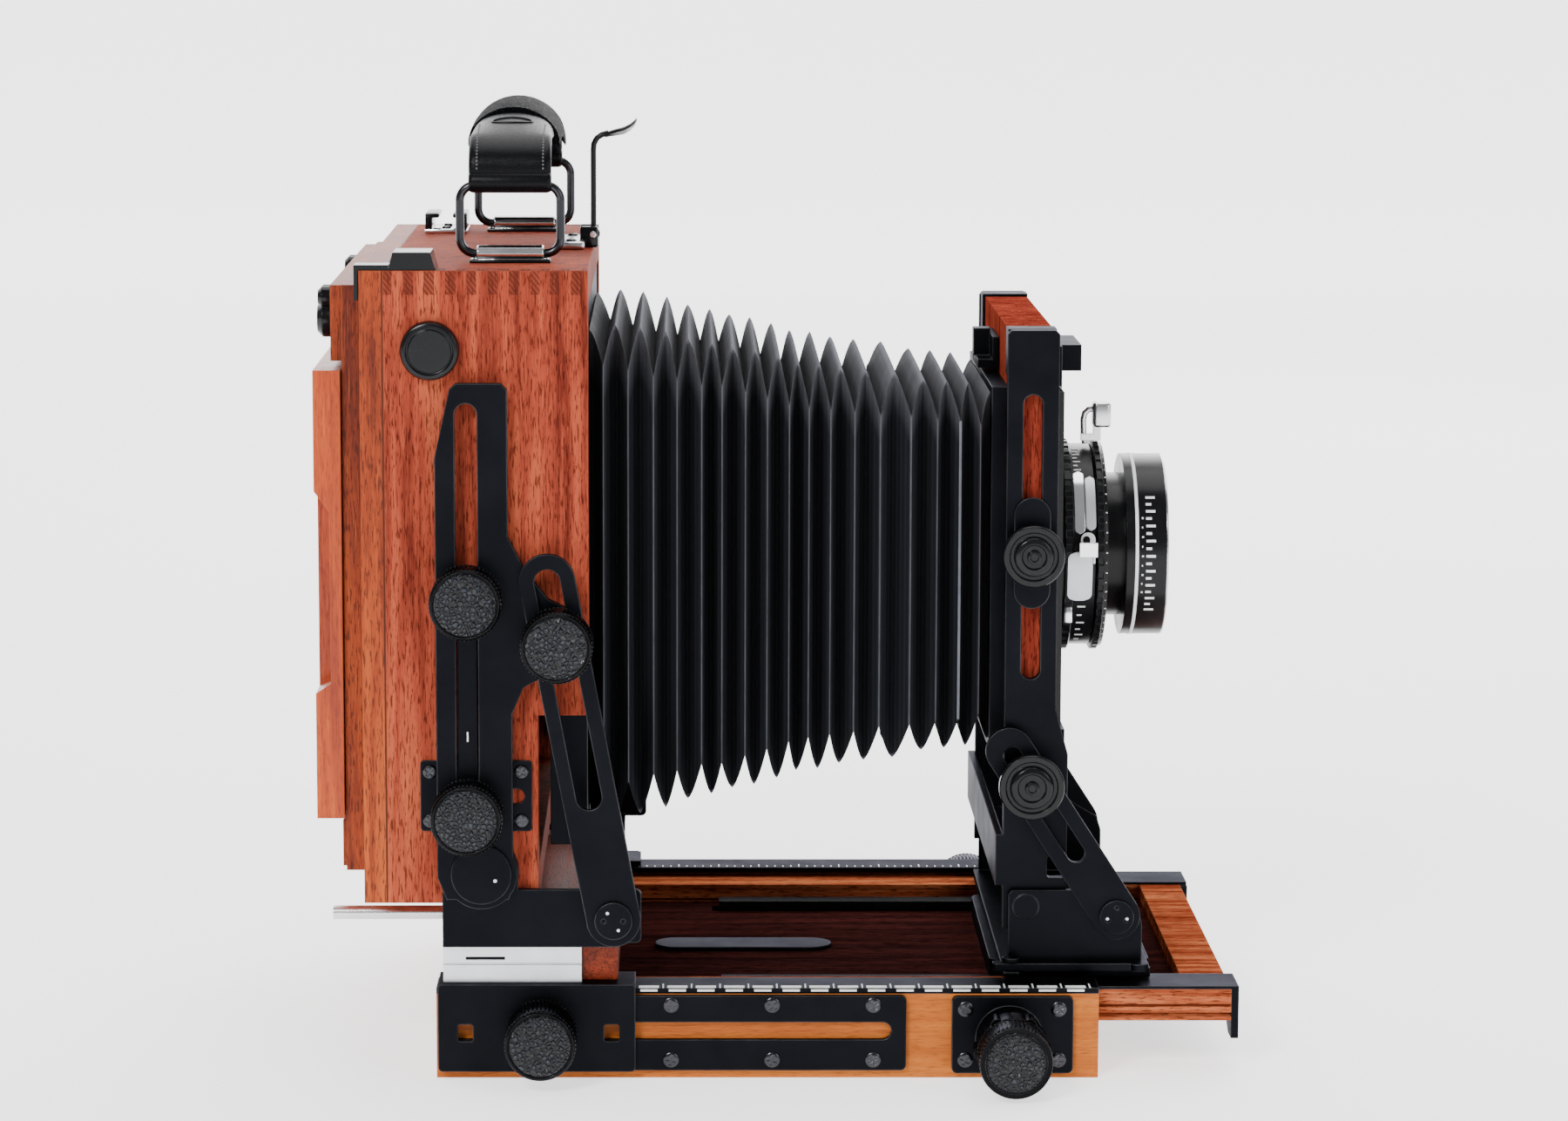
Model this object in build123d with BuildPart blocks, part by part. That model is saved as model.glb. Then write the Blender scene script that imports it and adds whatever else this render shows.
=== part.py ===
"""Wooden folding field camera for 4x5 inch sheet film, standing open on its base.

Millimetres. The origin is the mouth of the tripod socket, in the middle of the base's underside. +Z is up and
+X runs along the lens axis, out of the lens. The camera is the same on both sides of Y = 0, apart from a few
small catches, so most pieces are drawn on the -Y side and mirrored.
"""

import math
import os

from build123d import *

os.makedirs("parts", exist_ok=True)

# Base box and the channel that the bed slides in
BASE_HALF_X = 88.5
BASE_HALF_Y = 82.0
BASE_FLOOR = 7.0
BASE_WALL = 8.5
BASE_TOP = 23.0
CHANNEL_HALF_Y = BASE_HALF_Y - BASE_WALL
STRIP_INNER_Y = 70.0
STRIP_THICK = 1.6
SIDE_PLATE = 1.7
PLATE_OUTER_Y = BASE_HALF_Y + SIDE_PLATE
SLOT_Z = 13.2
SLOT_WIDTH = 4.8

# Tripod socket, 3/8 inch thread at its tapping size
SOCKET_R = 3.97
SOCKET_BUSH_R = 7.0
SOCKET_FLANGE_R = 15.0
SOCKET_FLANGE = 2.0

# Rack and pinion focusing
PINION_X = 64.6
PINION_Z = 11.0
SHAFT_R = 2.0
FIT = 0.05
PINION_TEETH = 16
PINION_R = 5.2
ADDENDUM = 0.8
DEDENDUM = 1.0
TOOTH_PITCH = 2 * math.pi * PINION_R / PINION_TEETH
RACK_Y = 49.0
PINION_POCKET = 4.4
RACK_WIDTH = 6.0
RACK_START_X = -12.0
RACK_END_X = 98.0
RACK_TOP = 19.6

# Focusing bed
BED_BOTTOM = 13.4
BED_TOP = 22.0
BED_PANEL_TOP = 16.8
BED_HALF_Y = 73.0
BED_RAIL_INNER_Y = 58.0
BED_REAR_X = -50.0
BED_FRONT_X = 125.0
BED_END_PLATE = 2.0
BED_TRACK = 0.8

# Rear carriage
CARRIAGE_REAR_X = -87.9
CARRIAGE_FRONT_X = -35.3
CLAMP_INNER_Y = 84.3
CLAMP_OUTER_Y = 86.0
FLANGE_BOTTOM = 24.9
FLANGE_TOP = 26.4
BLOCK_TOP = 36.5
CLAMP_KNOB_X = -60.3
BRACKET_INNER_Y = 83.6
BRACKET_OUTER_Y = 85.4

# Rear arms, their pivots and struts
REAR_PIVOT = (-76.0, 57.0)
STRUT_PIVOT = (-41.0, 45.0)
ARM_INNER_Y = 85.8
ARM_OUTER_Y = 88.2
ARM_SLOT_X = -79.4
ARM_SLOT_WIDTH = 5.9
ARM_SLOT_BOTTOM = 66.0
ARM_SLOT_TOP = 182.2
STRUT_INNER_Y = 88.6
STRUT_OUTER_Y = 90.6
STRUT_STUD = (-55.6, 119.5)

# Rear body box
BODY_REAR_X = -101.0
BODY_FRONT_X = -47.5
BODY_HALF_Y = 83.0
BODY_BOTTOM = 48.0
BODY_TOP = 216.5
BODY_WALL = 9.0
BODY_CUT_X = -61.0
BODY_CUT_Z = 98.7
UPPER_KNOB = (ARM_SLOT_X, 130.5)
LOWER_KNOB = (ARM_SLOT_X, 73.5)

# Knobs
KNOB_R = 9.5
KNOB_STUD_R = 1.9
KNOB_FACE_R = 8.2
KNOB_FACE = 0.5

# Back
BACK_FRAME_REAR_X = -107.3
BACK_REAR_X = -112.6
SCREEN_REAR_X = -120.2
SCREEN_BOTTOM = 69.5
SCREEN_TOP = 189.6
SCREEN_HALF_Y = 76.0

# Bellows
LENS_Z = 132.8
BELLOWS_REAR_X = -46.0
BELLOWS_FRONT_X = 60.2
BELLOWS_REAR_HALF = 66.0
BELLOWS_FRONT_HALF = 50.0
BELLOWS_WALL = 9.0

# Front standard
SWING_X = 84.0
COLUMN_X = 70.85
COLUMN_WIDTH = 13.9
COLUMN_INNER_Y = 58.0
COLUMN_OUTER_Y = 61.0
COLUMN_TOP = 198.7
COLUMN_PIVOT = (70.1, 42.5)
FOOT_INNER_Y = 61.4
FOOT_OUTER_Y = 63.2
BRACE_INNER_Y = 63.6
BRACE_OUTER_Y = 65.4
BRACE_PIVOT = (94.5, 40.3)
BRACE_STUD = (70.8, 76.9)
RISE_STUD = (70.9, 139.0)
FRAME_REAR_X = 65.0
FRAME_FRONT_X = 77.0
FRAME_HALF_Y = 57.3
FRAME_BOTTOM = 76.0
FRAME_TOP = 198.0

# Lens and shutter
BOARD_REAR_X = 77.2
BOARD_FRONT_X = 80.2
BOARD_HALF_Y = 48.0
SHUTTER_R = 28.2
RING_R = 29.6
TUBE_R = 20.5
FRONT_RING_R = 25.35
FILTER_R = 24.1
NECK_R = 20.0

# Carrying handle
RING_Y = 56.0
RING_HALF_X = 13.4
HANDLE_X = -68.6
RING_BOTTOM = 218.9
RING_TOP = 237.0
WIRE_R = 1.15
STRAP_HALF_X = 12.6
STRAP_THICK = 4.2
STRAP_TOP = 258.5


def near(y):
    """Side plane y outwards on the -Y side: sketches are drawn as (X, Z) and extrude outwards."""
    return Plane.XZ.offset(y)


def discs(points, radius, start, end):
    """Round bars along Y on the -Y side, from start to end, one at each (X, Z) point."""
    with BuildSketch(near(start)) as ends:
        with Locations(*points):
            Circle(radius)
    extrude(ends.sketch, amount=end - start)


def holes(points, radius, start, end):
    """The same round bars, cut out of the part being built."""
    with BuildSketch(near(start)) as ends:
        with Locations(*points):
            Circle(radius)
    extrude(ends.sketch, amount=end - start, mode=Mode.SUBTRACT)


def block(x0, x1, y0, y1, z0, z1, mode=Mode.ADD):
    """A box given by its limits along each axis."""
    with Locations(((x0 + x1) / 2, (y0 + y1) / 2, (z0 + z1) / 2)):
        Box(x1 - x0, y1 - y0, z1 - z0, mode=mode)


def plate(x0, x1, z0, z1, start, end, radius=1.5):
    """A flat side plate with rounded corners on the -Y side."""
    with BuildSketch(near(start)) as outline:
        with Locations(((x0 + x1) / 2, (z0 + z1) / 2)):
            RectangleRounded(x1 - x0, z1 - z0, radius)
    extrude(outline.sketch, amount=end - start)


def lens_ring(outer, inner, x0, x1):
    """A ring about the lens axis."""
    with BuildSketch(Plane.YZ.offset(x0)) as section:
        with Locations((0, LENS_Z)):
            Circle(outer)
            if inner:
                Circle(inner, mode=Mode.SUBTRACT)
    extrude(section.sketch, amount=x1 - x0)


def frame_ring(x0, x1, outer, inner):
    """A rectangular frame across the camera: outer and inner are (half width, bottom, top)."""
    block(x0, x1, -outer[0], outer[0], outer[1], outer[2])
    block(x0 - 1, x1 + 1, -inner[0], inner[0], inner[1], inner[2], mode=Mode.SUBTRACT)


# ---- Base -------------------------------------------------------------------------------------------------

with BuildPart() as base_frame:
    block(-BASE_HALF_X, BASE_HALF_X, -BASE_HALF_Y, BASE_HALF_Y, 0, BASE_FLOOR)
    for side in (-1, 1):
        wall_mid = side * (BASE_HALF_Y - BASE_WALL / 2)
        wall_from = wall_mid - BASE_WALL / 2
        block(-BASE_HALF_X, BASE_HALF_X, wall_from, wall_from + BASE_WALL, BASE_FLOOR, BASE_TOP)
    with Locations((0, 0, SOCKET_FLANGE / 2)):
        Cylinder(SOCKET_FLANGE_R, SOCKET_FLANGE, mode=Mode.SUBTRACT)
    with Locations((0, 0, BASE_FLOOR / 2)):
        Cylinder(SOCKET_BUSH_R, BASE_FLOOR, mode=Mode.SUBTRACT)
    holes([(PINION_X, PINION_Z)], 3.5, -BASE_HALF_Y - 1, BASE_HALF_Y + 1)
    for side in (-1, 1):
        block(-86, 86, side * 66.5 - 5.5, side * 66.5 + 5.5, BASE_FLOOR, BED_BOTTOM - 0.3)
    holes([(PINION_X, PINION_Z)], SHAFT_R + 0.6, -74, 74)
    for side in (-1, 1):
        with Locations((PINION_X, side * RACK_Y, (PINION_POCKET + BASE_FLOOR) / 2)):
            Box(15, 8, BASE_FLOOR - PINION_POCKET, mode=Mode.SUBTRACT)
base_frame.part.label = "base_frame"
export_step(base_frame.part, "parts/base_frame.step")

with BuildPart() as tripod_socket:
    with Locations((0, 0, SOCKET_FLANGE / 2)):
        Cylinder(SOCKET_FLANGE_R, SOCKET_FLANGE)
    with Locations((0, 0, BASE_FLOOR / 2)):
        Cylinder(SOCKET_BUSH_R, BASE_FLOOR)
        Cylinder(SOCKET_R, BASE_FLOOR, mode=Mode.SUBTRACT)
tripod_socket.part.label = "tripod_socket"
export_step(tripod_socket.part, "parts/tripod_socket.step")

with BuildPart() as scale_strips:
    block(-BASE_HALF_X, BASE_HALF_X, -BASE_HALF_Y, -STRIP_INNER_Y, BASE_TOP, BASE_TOP + STRIP_THICK)
    mirror(about=Plane.XZ)
scale_strips.part.label = "scale_strips"
export_step(scale_strips.part, "parts/scale_strips.step")

PINION_PLATE_SCREWS = [(x, z) for x in (52.8, 77.7) for z in (5.3, 19.2)]
SLOT_PLATE_SCREWS = [(x, z) for x in (-25.8, 1.2, 28.2) for z in (5.3, 20.3)]
with BuildPart() as base_side_plates:
    plate(-86, 37, 2.4, 22.8, BASE_HALF_Y, PLATE_OUTER_Y)
    with BuildSketch(near(BASE_HALF_Y)):
        with Locations((-25.5, SLOT_Z)):
            SlotOverall(117, SLOT_WIDTH)
    extrude(amount=SIDE_PLATE, mode=Mode.SUBTRACT)
    holes(SLOT_PLATE_SCREWS, 1.2, BASE_HALF_Y, PLATE_OUTER_Y)
    plate(49.2, 81.6, 1.6, 22.6, BASE_HALF_Y, PLATE_OUTER_Y)
    discs([(PINION_X, PINION_Z)], 9.0, PLATE_OUTER_Y, 92.0)
    holes([(PINION_X, PINION_Z)], SHAFT_R + FIT, BASE_HALF_Y, 93.0)
    holes(PINION_PLATE_SCREWS, 1.2, BASE_HALF_Y, PLATE_OUTER_Y)
    discs([(PINION_X, PINION_Z)], 3.5, CHANNEL_HALF_Y, BASE_HALF_Y)
    holes([(PINION_X, PINION_Z)], SHAFT_R + FIT, CHANNEL_HALF_Y - 1, 93.0)
    mirror(about=Plane.XZ)
base_side_plates.part.label = "base_side_plates"
export_step(base_side_plates.part, "parts/base_side_plates.step")

with BuildPart() as base_screws:
    discs(SLOT_PLATE_SCREWS + PINION_PLATE_SCREWS, 1.2, BASE_HALF_Y, PLATE_OUTER_Y)
    discs(SLOT_PLATE_SCREWS + PINION_PLATE_SCREWS, 2.1, PLATE_OUTER_Y, PLATE_OUTER_Y + 0.5)
    mirror(about=Plane.XZ)
base_screws.part.label = "base_screws"
export_step(base_screws.part, "parts/base_screws.step")

# ---- Focus drive: one shaft, two pinions, a knob and a locking collar at each end -------------------------

with BuildPart() as pinion_shaft:
    with BuildSketch(near(-110.0)):
        with Locations((PINION_X, PINION_Z)):
            Circle(SHAFT_R)
    extrude(amount=220.0)
    for side in (-1, 1):
        with BuildSketch(near(side * RACK_Y - 2.5)):
            with Locations((PINION_X, PINION_Z)):
                Circle(PINION_R - DEDENDUM)
                for tooth in range(PINION_TEETH):
                    # A tooth space faces straight up, where the rack's tooth stands
                    with PolarLocations(0, 1, 90 + (tooth + 0.5) * 360 / PINION_TEETH):
                        Polygon(
                            (PINION_R - DEDENDUM - 0.4, -0.62),
                            (PINION_R - DEDENDUM, -0.62),
                            (PINION_R + ADDENDUM, -0.26),
                            (PINION_R + ADDENDUM, 0.26),
                            (PINION_R - DEDENDUM, 0.62),
                            (PINION_R - DEDENDUM - 0.4, 0.62),
                            align=None,
                        )
        extrude(amount=5.0)
    for side in (-1, 1):
        with BuildSketch(near(side * 105.0 - 5.0)):
            with Locations((PINION_X, PINION_Z)):
                Circle(KNOB_R)
        extrude(amount=10.0)
        with BuildSketch(near(side * 105.0 - 5.5)):
            with Locations((PINION_X, PINION_Z)):
                Circle(KNOB_FACE_R)
        extrude(amount=11.0)
pinion_shaft.part.label = "pinion_shaft"
export_step(pinion_shaft.part, "parts/pinion_shaft.step")

with BuildPart() as focus_lock:
    with BuildSketch(near(92.4)):
        with Locations((PINION_X, PINION_Z)):
            Circle(9.6)
            with PolarLocations(8.6, 6):
                Circle(1.8)
            Circle(SHAFT_R + FIT, mode=Mode.SUBTRACT)
    extrude(amount=6.8)
focus_lock.part.label = "focus_lock"
export_step(focus_lock.part, "parts/focus_lock.step")

# ---- Focusing bed -----------------------------------------------------------------------------------------

with BuildPart() as bed_rails:
    block(BED_REAR_X, BED_FRONT_X, -BED_HALF_Y, -BED_RAIL_INNER_Y, BED_BOTTOM, BED_TOP)
    block(BED_REAR_X, BED_FRONT_X, -BED_HALF_Y - 1, -BED_HALF_Y + 0.8, 14.6, 15.6, mode=Mode.SUBTRACT)
    mirror(about=Plane.XZ)
    block(113, BED_FRONT_X, -BED_RAIL_INNER_Y, BED_RAIL_INNER_Y, BED_PANEL_TOP, BED_TOP)
    block(BED_REAR_X, BED_REAR_X + 8, -BED_RAIL_INNER_Y, BED_RAIL_INNER_Y, BED_PANEL_TOP, BED_TOP)
bed_rails.part.label = "bed_rails"
export_step(bed_rails.part, "parts/bed_rails.step")

with BuildPart() as bed_panel:
    block(BED_REAR_X, BED_FRONT_X, -BED_RAIL_INNER_Y, BED_RAIL_INNER_Y, BED_BOTTOM, BED_PANEL_TOP)
    for side in (-1, 1):
        block(
            RACK_START_X - 2,
            RACK_END_X + 2,
            side * RACK_Y - RACK_WIDTH / 2,
            side * RACK_Y + RACK_WIDTH / 2,
            BED_BOTTOM,
            BED_PANEL_TOP,
            mode=Mode.SUBTRACT,
        )
bed_panel.part.label = "bed_panel"
export_step(bed_panel.part, "parts/bed_panel.step")

with BuildPart() as bed_plates:
    block(82, BED_FRONT_X + BED_END_PLATE, -BED_HALF_Y, -BED_RAIL_INNER_Y, BED_TOP, BED_TOP + BED_TRACK)
    with BuildSketch(Plane.YZ.offset(BED_FRONT_X)):
        with BuildLine():
            Polyline((-73, 8.5), (-66, 8.5), (-56, 14), (-56, BED_TOP), (-73, BED_TOP), close=True)
        make_face()
    extrude(amount=BED_END_PLATE)
    mirror(about=Plane.XZ)
    with BuildSketch(Plane.XY.offset(BED_PANEL_TOP)):
        with Locations((-5.5, 0)):
            SlotOverall(50, 12)
    extrude(amount=1.2)
    with BuildSketch(Plane.XY.offset(BED_PANEL_TOP)):
        with Locations((SWING_X, 0)):
            RectangleRounded(44, 84, 4)
    extrude(amount=22.7 - BED_PANEL_TOP)
    with Locations((SWING_X, 0, 24.4)):
        Cylinder(3.0, 3.4)
    with Locations((SWING_X, 0, 26.7)):
        Cylinder(6.0, 1.4)
bed_plates.part.label = "bed_plates"
export_step(bed_plates.part, "parts/bed_plates.step")

RACK_PITCH_Z = PINION_Z + PINION_R
with BuildPart() as focus_racks:
    with BuildSketch(near(RACK_Y - RACK_WIDTH / 2)):
        with Locations(((RACK_START_X + RACK_END_X) / 2, (RACK_PITCH_Z + DEDENDUM + RACK_TOP) / 2)):
            Rectangle(RACK_END_X - RACK_START_X, RACK_TOP - RACK_PITCH_Z - DEDENDUM)
        # Teeth point down; one stands exactly over the pinion's axis
        for step in range(-36, 16):
            with Locations((PINION_X + step * TOOTH_PITCH, RACK_PITCH_Z + DEDENDUM)):
                Polygon(
                    (-0.60, 0.1),
                    (-0.20, -DEDENDUM - ADDENDUM + 0.25),
                    (0.20, -DEDENDUM - ADDENDUM + 0.25),
                    (0.60, 0.1),
                    align=None,
                )
    extrude(amount=RACK_WIDTH)
    mirror(about=Plane.XZ)
focus_racks.part.label = "focus_racks"
export_step(focus_racks.part, "parts/focus_racks.step")

# ---- Rear carriage ----------------------------------------------------------------------------------------

with BuildPart() as carriage_blocks:
    block(-86.5, -49.6, -83.3, -68, FLANGE_TOP, BLOCK_TOP)
    block(-87, -49, -84, -82.9, 31.2, 31.6, mode=Mode.SUBTRACT)
    block(-80.5, -70, -84, -82.3, 32.6, 33.4, mode=Mode.SUBTRACT)
    mirror(about=Plane.XZ)
carriage_blocks.part.label = "carriage_blocks"
export_step(carriage_blocks.part, "parts/carriage_blocks.step")

with BuildPart() as carriage_board:
    block(-84, -40, -67.9, 67.9, FLANGE_BOTTOM, 35)
    block(-49.4, -40, -80, 80, FLANGE_TOP, 36)
carriage_board.part.label = "carriage_board"
export_step(carriage_board.part, "parts/carriage_board.step")

with BuildPart() as rear_brackets:
    with BuildSketch(near(BRACKET_INNER_Y)):
        with Locations((-60.1, 44.9)):
            RectangleRounded(52.8, 14.4, 1.5)
        with Locations((-76.2, 52)):
            Rectangle(19.6, 10)
        with Locations(REAR_PIVOT):
            Circle(9.8)
            Circle(3.0, mode=Mode.SUBTRACT)
        with Locations(STRUT_PIVOT):
            Circle(2.5, mode=Mode.SUBTRACT)
    extrude(amount=BRACKET_OUTER_Y - BRACKET_INNER_Y)
    block(-86.5, -40, -BRACKET_OUTER_Y, -68, BLOCK_TOP, 38.4)
    plate(CARRIAGE_REAR_X, CARRIAGE_FRONT_X, 2.6, FLANGE_TOP, CLAMP_INNER_Y, CLAMP_OUTER_Y, radius=1.2)
    block(CARRIAGE_REAR_X, CARRIAGE_FRONT_X, -CLAMP_INNER_Y - 0.5, -71, FLANGE_BOTTOM, FLANGE_TOP)
    with BuildSketch(near(CLAMP_INNER_Y)):
        with Locations((-80.6, SLOT_Z), (-41.6, SLOT_Z)):
            RectangleRounded(4.0, 4.6, 0.6)
        with Locations((CLAMP_KNOB_X, SLOT_Z)):
            Circle(KNOB_STUD_R + FIT)
    extrude(amount=CLAMP_OUTER_Y - CLAMP_INNER_Y, mode=Mode.SUBTRACT)
    discs([REAR_PIVOT], 3.0, BRACKET_INNER_Y, ARM_OUTER_Y)
    discs([REAR_PIVOT], 8.0, ARM_OUTER_Y + 0.1, 89.4)
    discs([REAR_PIVOT], 3.0, ARM_OUTER_Y, 89.4)
    discs([STRUT_PIVOT], 2.5, BRACKET_INNER_Y, STRUT_OUTER_Y + 0.3)
    discs([STRUT_PIVOT], 4.5, BRACKET_OUTER_Y, STRUT_INNER_Y - 0.3)
    discs([STRUT_PIVOT], 5.0, STRUT_OUTER_Y + 0.3, 92.0)
    holes([(STRUT_PIVOT[0] - 2.6, STRUT_PIVOT[1]), (STRUT_PIVOT[0] + 2.6, STRUT_PIVOT[1])], 0.6, 91.2, 92.5)
    mirror(about=Plane.XZ)
    with Locations((-80, -52, 38.2)):
        Cylinder(2.0, 6.4)
    with Locations((-80, -52, 35.6)):
        Cylinder(5.0, 1.2)
    with Locations((-80, -52, 41.2)):
        Cylinder(4.0, 0.6)
rear_brackets.part.label = "rear_brackets"
export_step(rear_brackets.part, "parts/rear_brackets.step")

with BuildPart() as rear_lock_lever:
    with BuildSketch(Plane.YZ.offset(-118.0)):
        with Locations((-52, 38.5)):
            Circle(1.9)
    extrude(amount=36.0)
    with BuildSketch(Plane.XY.offset(36.4)):
        with Locations((-80, -52)):
            Circle(6.0)
    extrude(amount=4.2)
    with Locations((-80, -52, 38.5)):
        Cylinder(2.05, 6.0, mode=Mode.SUBTRACT)
rear_lock_lever.part.label = "rear_lock_lever"
export_step(rear_lock_lever.part, "parts/rear_lock_lever.step")

# ---- Rear arms and struts ---------------------------------------------------------------------------------

SLOT_MID_Z = (ARM_SLOT_BOTTOM + ARM_SLOT_TOP) / 2
with BuildPart() as rear_arms:
    with BuildSketch(near(ARM_INNER_Y)):
        with BuildLine():
            Polyline(
                (-85.2, 50.0),
                (-87.6, 56.0),
                (-87.6, 168.0),
                (-83.6, 186.0),
                (-82.0, 187.4),
                (-70.2, 187.4),
                (-68.6, 185.8),
                (-68.6, 147.0),
                (-64.0, 138.0),
                (-58.0, 130.5),
                (-50.0, 126.6),
                (-47.2, 120.0),
                (-50.0, 113.4),
                (-58.0, 110.6),
                (-64.6, 107.0),
                (-67.6, 100.0),
                (-67.6, 60.0),
                (-66.4, 56.0),
                (-68.8, 50.0),
                close=True,
            )
        make_face()
        with Locations(REAR_PIVOT):
            Circle(9.6)
        with Locations((ARM_SLOT_X, SLOT_MID_Z)):
            SlotOverall(ARM_SLOT_TOP - ARM_SLOT_BOTTOM, ARM_SLOT_WIDTH, rotation=90, mode=Mode.SUBTRACT)
        with Locations(REAR_PIVOT):
            Circle(3.0 + FIT, mode=Mode.SUBTRACT)
        with Locations(STRUT_STUD):
            Circle(KNOB_STUD_R + FIT, mode=Mode.SUBTRACT)
    extrude(amount=ARM_OUTER_Y - ARM_INNER_Y)
    mirror(about=Plane.XZ)
rear_arms.part.label = "rear_arms"
export_step(rear_arms.part, "parts/rear_arms.step")

STRUT_TOP = (-58.2, 135.4)
STRUT_FOOT_SLOT = (-47.4, 78.0)
STRUT_SLOT_WIDTH = 6.8
with BuildPart() as rear_struts:
    with BuildSketch(near(STRUT_INNER_Y)):
        with Locations(STRUT_TOP):
            Circle(7.4)
        with Locations(STRUT_PIVOT):
            Circle(7.2)
        with BuildLine():
            Polyline((-65.5, 134.2), (-50.8, 136.2), (-33.8, 45.4), (-48.2, 44.6), close=True)
        make_face()
        with Locations(((STRUT_TOP[0] + STRUT_FOOT_SLOT[0]) / 2, (STRUT_TOP[1] + STRUT_FOOT_SLOT[1]) / 2)):
            SlotCenterToCenter(
                math.dist(STRUT_TOP, STRUT_FOOT_SLOT),
                STRUT_SLOT_WIDTH,
                rotation=math.degrees(
                    math.atan2(STRUT_TOP[1] - STRUT_FOOT_SLOT[1], STRUT_TOP[0] - STRUT_FOOT_SLOT[0])
                ),
                mode=Mode.SUBTRACT,
            )
        with Locations(STRUT_PIVOT):
            Circle(2.5 + FIT, mode=Mode.SUBTRACT)
    extrude(amount=STRUT_OUTER_Y - STRUT_INNER_Y)
    mirror(about=Plane.XZ)
rear_struts.part.label = "rear_struts"
export_step(rear_struts.part, "parts/rear_struts.step")

# ---- Rear body --------------------------------------------------------------------------------------------

with BuildPart() as rear_box:
    frame_ring(
        BODY_REAR_X,
        BODY_FRONT_X,
        (BODY_HALF_Y, BODY_BOTTOM, BODY_TOP),
        (BODY_HALF_Y - BODY_WALL, BODY_BOTTOM + BODY_WALL, BODY_TOP - BODY_WALL),
    )
    block(BODY_CUT_X, BODY_FRONT_X + 1, -90, 90, BODY_BOTTOM - 1, BODY_CUT_Z, mode=Mode.SUBTRACT)
    for side in (-1, 1):
        holes([UPPER_KNOB, LOWER_KNOB], KNOB_STUD_R + FIT, side * 79.5 - 4.5, side * 79.5 + 4.5)
rear_box.part.label = "rear_box"
export_step(rear_box.part, "parts/rear_box.step")

BELLOWS_SEAT = (BODY_HALF_Y - BODY_WALL, 62.0, BODY_TOP - BODY_WALL)
with BuildPart() as bellows_rear_frame:
    frame_ring(-58, -48, BELLOWS_SEAT, (57.0, 75.5, 190.0))
bellows_rear_frame.part.label = "bellows_rear_frame"
export_step(bellows_rear_frame.part, "parts/bellows_rear_frame.step")

with BuildPart() as back_frame:
    frame_ring(BACK_FRAME_REAR_X, BODY_REAR_X, (BODY_HALF_Y, BODY_BOTTOM, BODY_TOP), (66.0, 66.0, 198.0))
back_frame.part.label = "back_frame"
export_step(back_frame.part, "parts/back_frame.step")

PLATE_SCREWS = [(x, z) for x in (-89.7, -65.4) for z in (70.4, 83.6)]
with BuildPart() as guide_plates:
    plate(-92.2, -62.6, 67.6, 86.6, BODY_HALF_Y, BODY_HALF_Y + 0.5, radius=1.0)
    block(ARM_SLOT_X - 2.6, ARM_SLOT_X + 2.6, -87.0, -BODY_HALF_Y, 79.5, 124.0)
    with BuildSketch(near(BODY_HALF_Y)):
        with Locations((-67.2, 77.0)):
            SlotOverall(5.4, 4.0)
    extrude(amount=0.5, mode=Mode.SUBTRACT)
    holes([LOWER_KNOB], KNOB_STUD_R + FIT, BODY_HALF_Y - 1, BODY_HALF_Y + 5)
    mirror(about=Plane.XZ)
guide_plates.part.label = "guide_plates"
export_step(guide_plates.part, "parts/guide_plates.step")

with BuildPart() as body_screws:
    discs(PLATE_SCREWS, 1.9, BODY_HALF_Y + 0.5, BODY_HALF_Y + 1.0)
    discs([(-88.8, 195.7)], 7.8, BODY_HALF_Y, BODY_HALF_Y + 3.6)
    mirror(about=Plane.XZ)
    for y in (-50.0, 50.0):
        with BuildSketch(Plane.YZ.offset(-119.6)):
            with Locations((y, 201.0)):
                Circle(1.5)
        extrude(amount=3.8)
        with BuildSketch(Plane.YZ.offset(-120.6)):
            with Locations((y, 201.0)):
                Circle(2.6)
        extrude(amount=1.2)
body_screws.part.label = "body_screws"
export_step(body_screws.part, "parts/body_screws.step")

with BuildPart() as top_fittings:
    for side in (-1, 1):
        block(-78.6, -58.6, side * RING_Y - 3.2, side * RING_Y + 3.2, BODY_TOP, BODY_TOP + 1.0)
        for x in (HANDLE_X - 7, HANDLE_X, HANDLE_X + 7):
            block(x - 2, x + 2, side * RING_Y - 3.2, side * RING_Y + 3.2, BODY_TOP + 1.0, RING_BOTTOM + 2.0)
            with BuildSketch(Plane.YZ.offset(x - 2)):
                with Locations((side * RING_Y, RING_BOTTOM)):
                    Circle(WIRE_R + FIT)
            extrude(amount=4.0, mode=Mode.SUBTRACT)
    block(-97, -85, 46, 64, BODY_TOP, BODY_TOP + 1.2)
    block(-97, -95, 46, 64, BODY_TOP + 1.2, BODY_TOP + 4.6)
    block(-87, -85, 46, 64, BODY_TOP + 1.2, BODY_TOP + 4.6)
    block(-97, -93, 46, 64, BODY_TOP + 4.6, BODY_TOP + 5.8)
    block(-89, -85, 46, 64, BODY_TOP + 4.6, BODY_TOP + 5.8)
    block(-57.0, -50.0, -14, 14, BODY_TOP, BODY_TOP + 2.2)
    block(-51.0, -46.4, -5.2, -2.6, BODY_TOP, BODY_TOP + 5.6)
    block(-51.0, -46.4, 2.6, 5.2, BODY_TOP, BODY_TOP + 5.6)
    with BuildSketch(Plane.XZ.offset(-5.2)):
        with Locations((-47.5, BODY_TOP + 3.6)):
            Circle(0.9)
    extrude(amount=10.4)
top_fittings.part.label = "top_fittings"
export_step(top_fittings.part, "parts/top_fittings.step")

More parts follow.
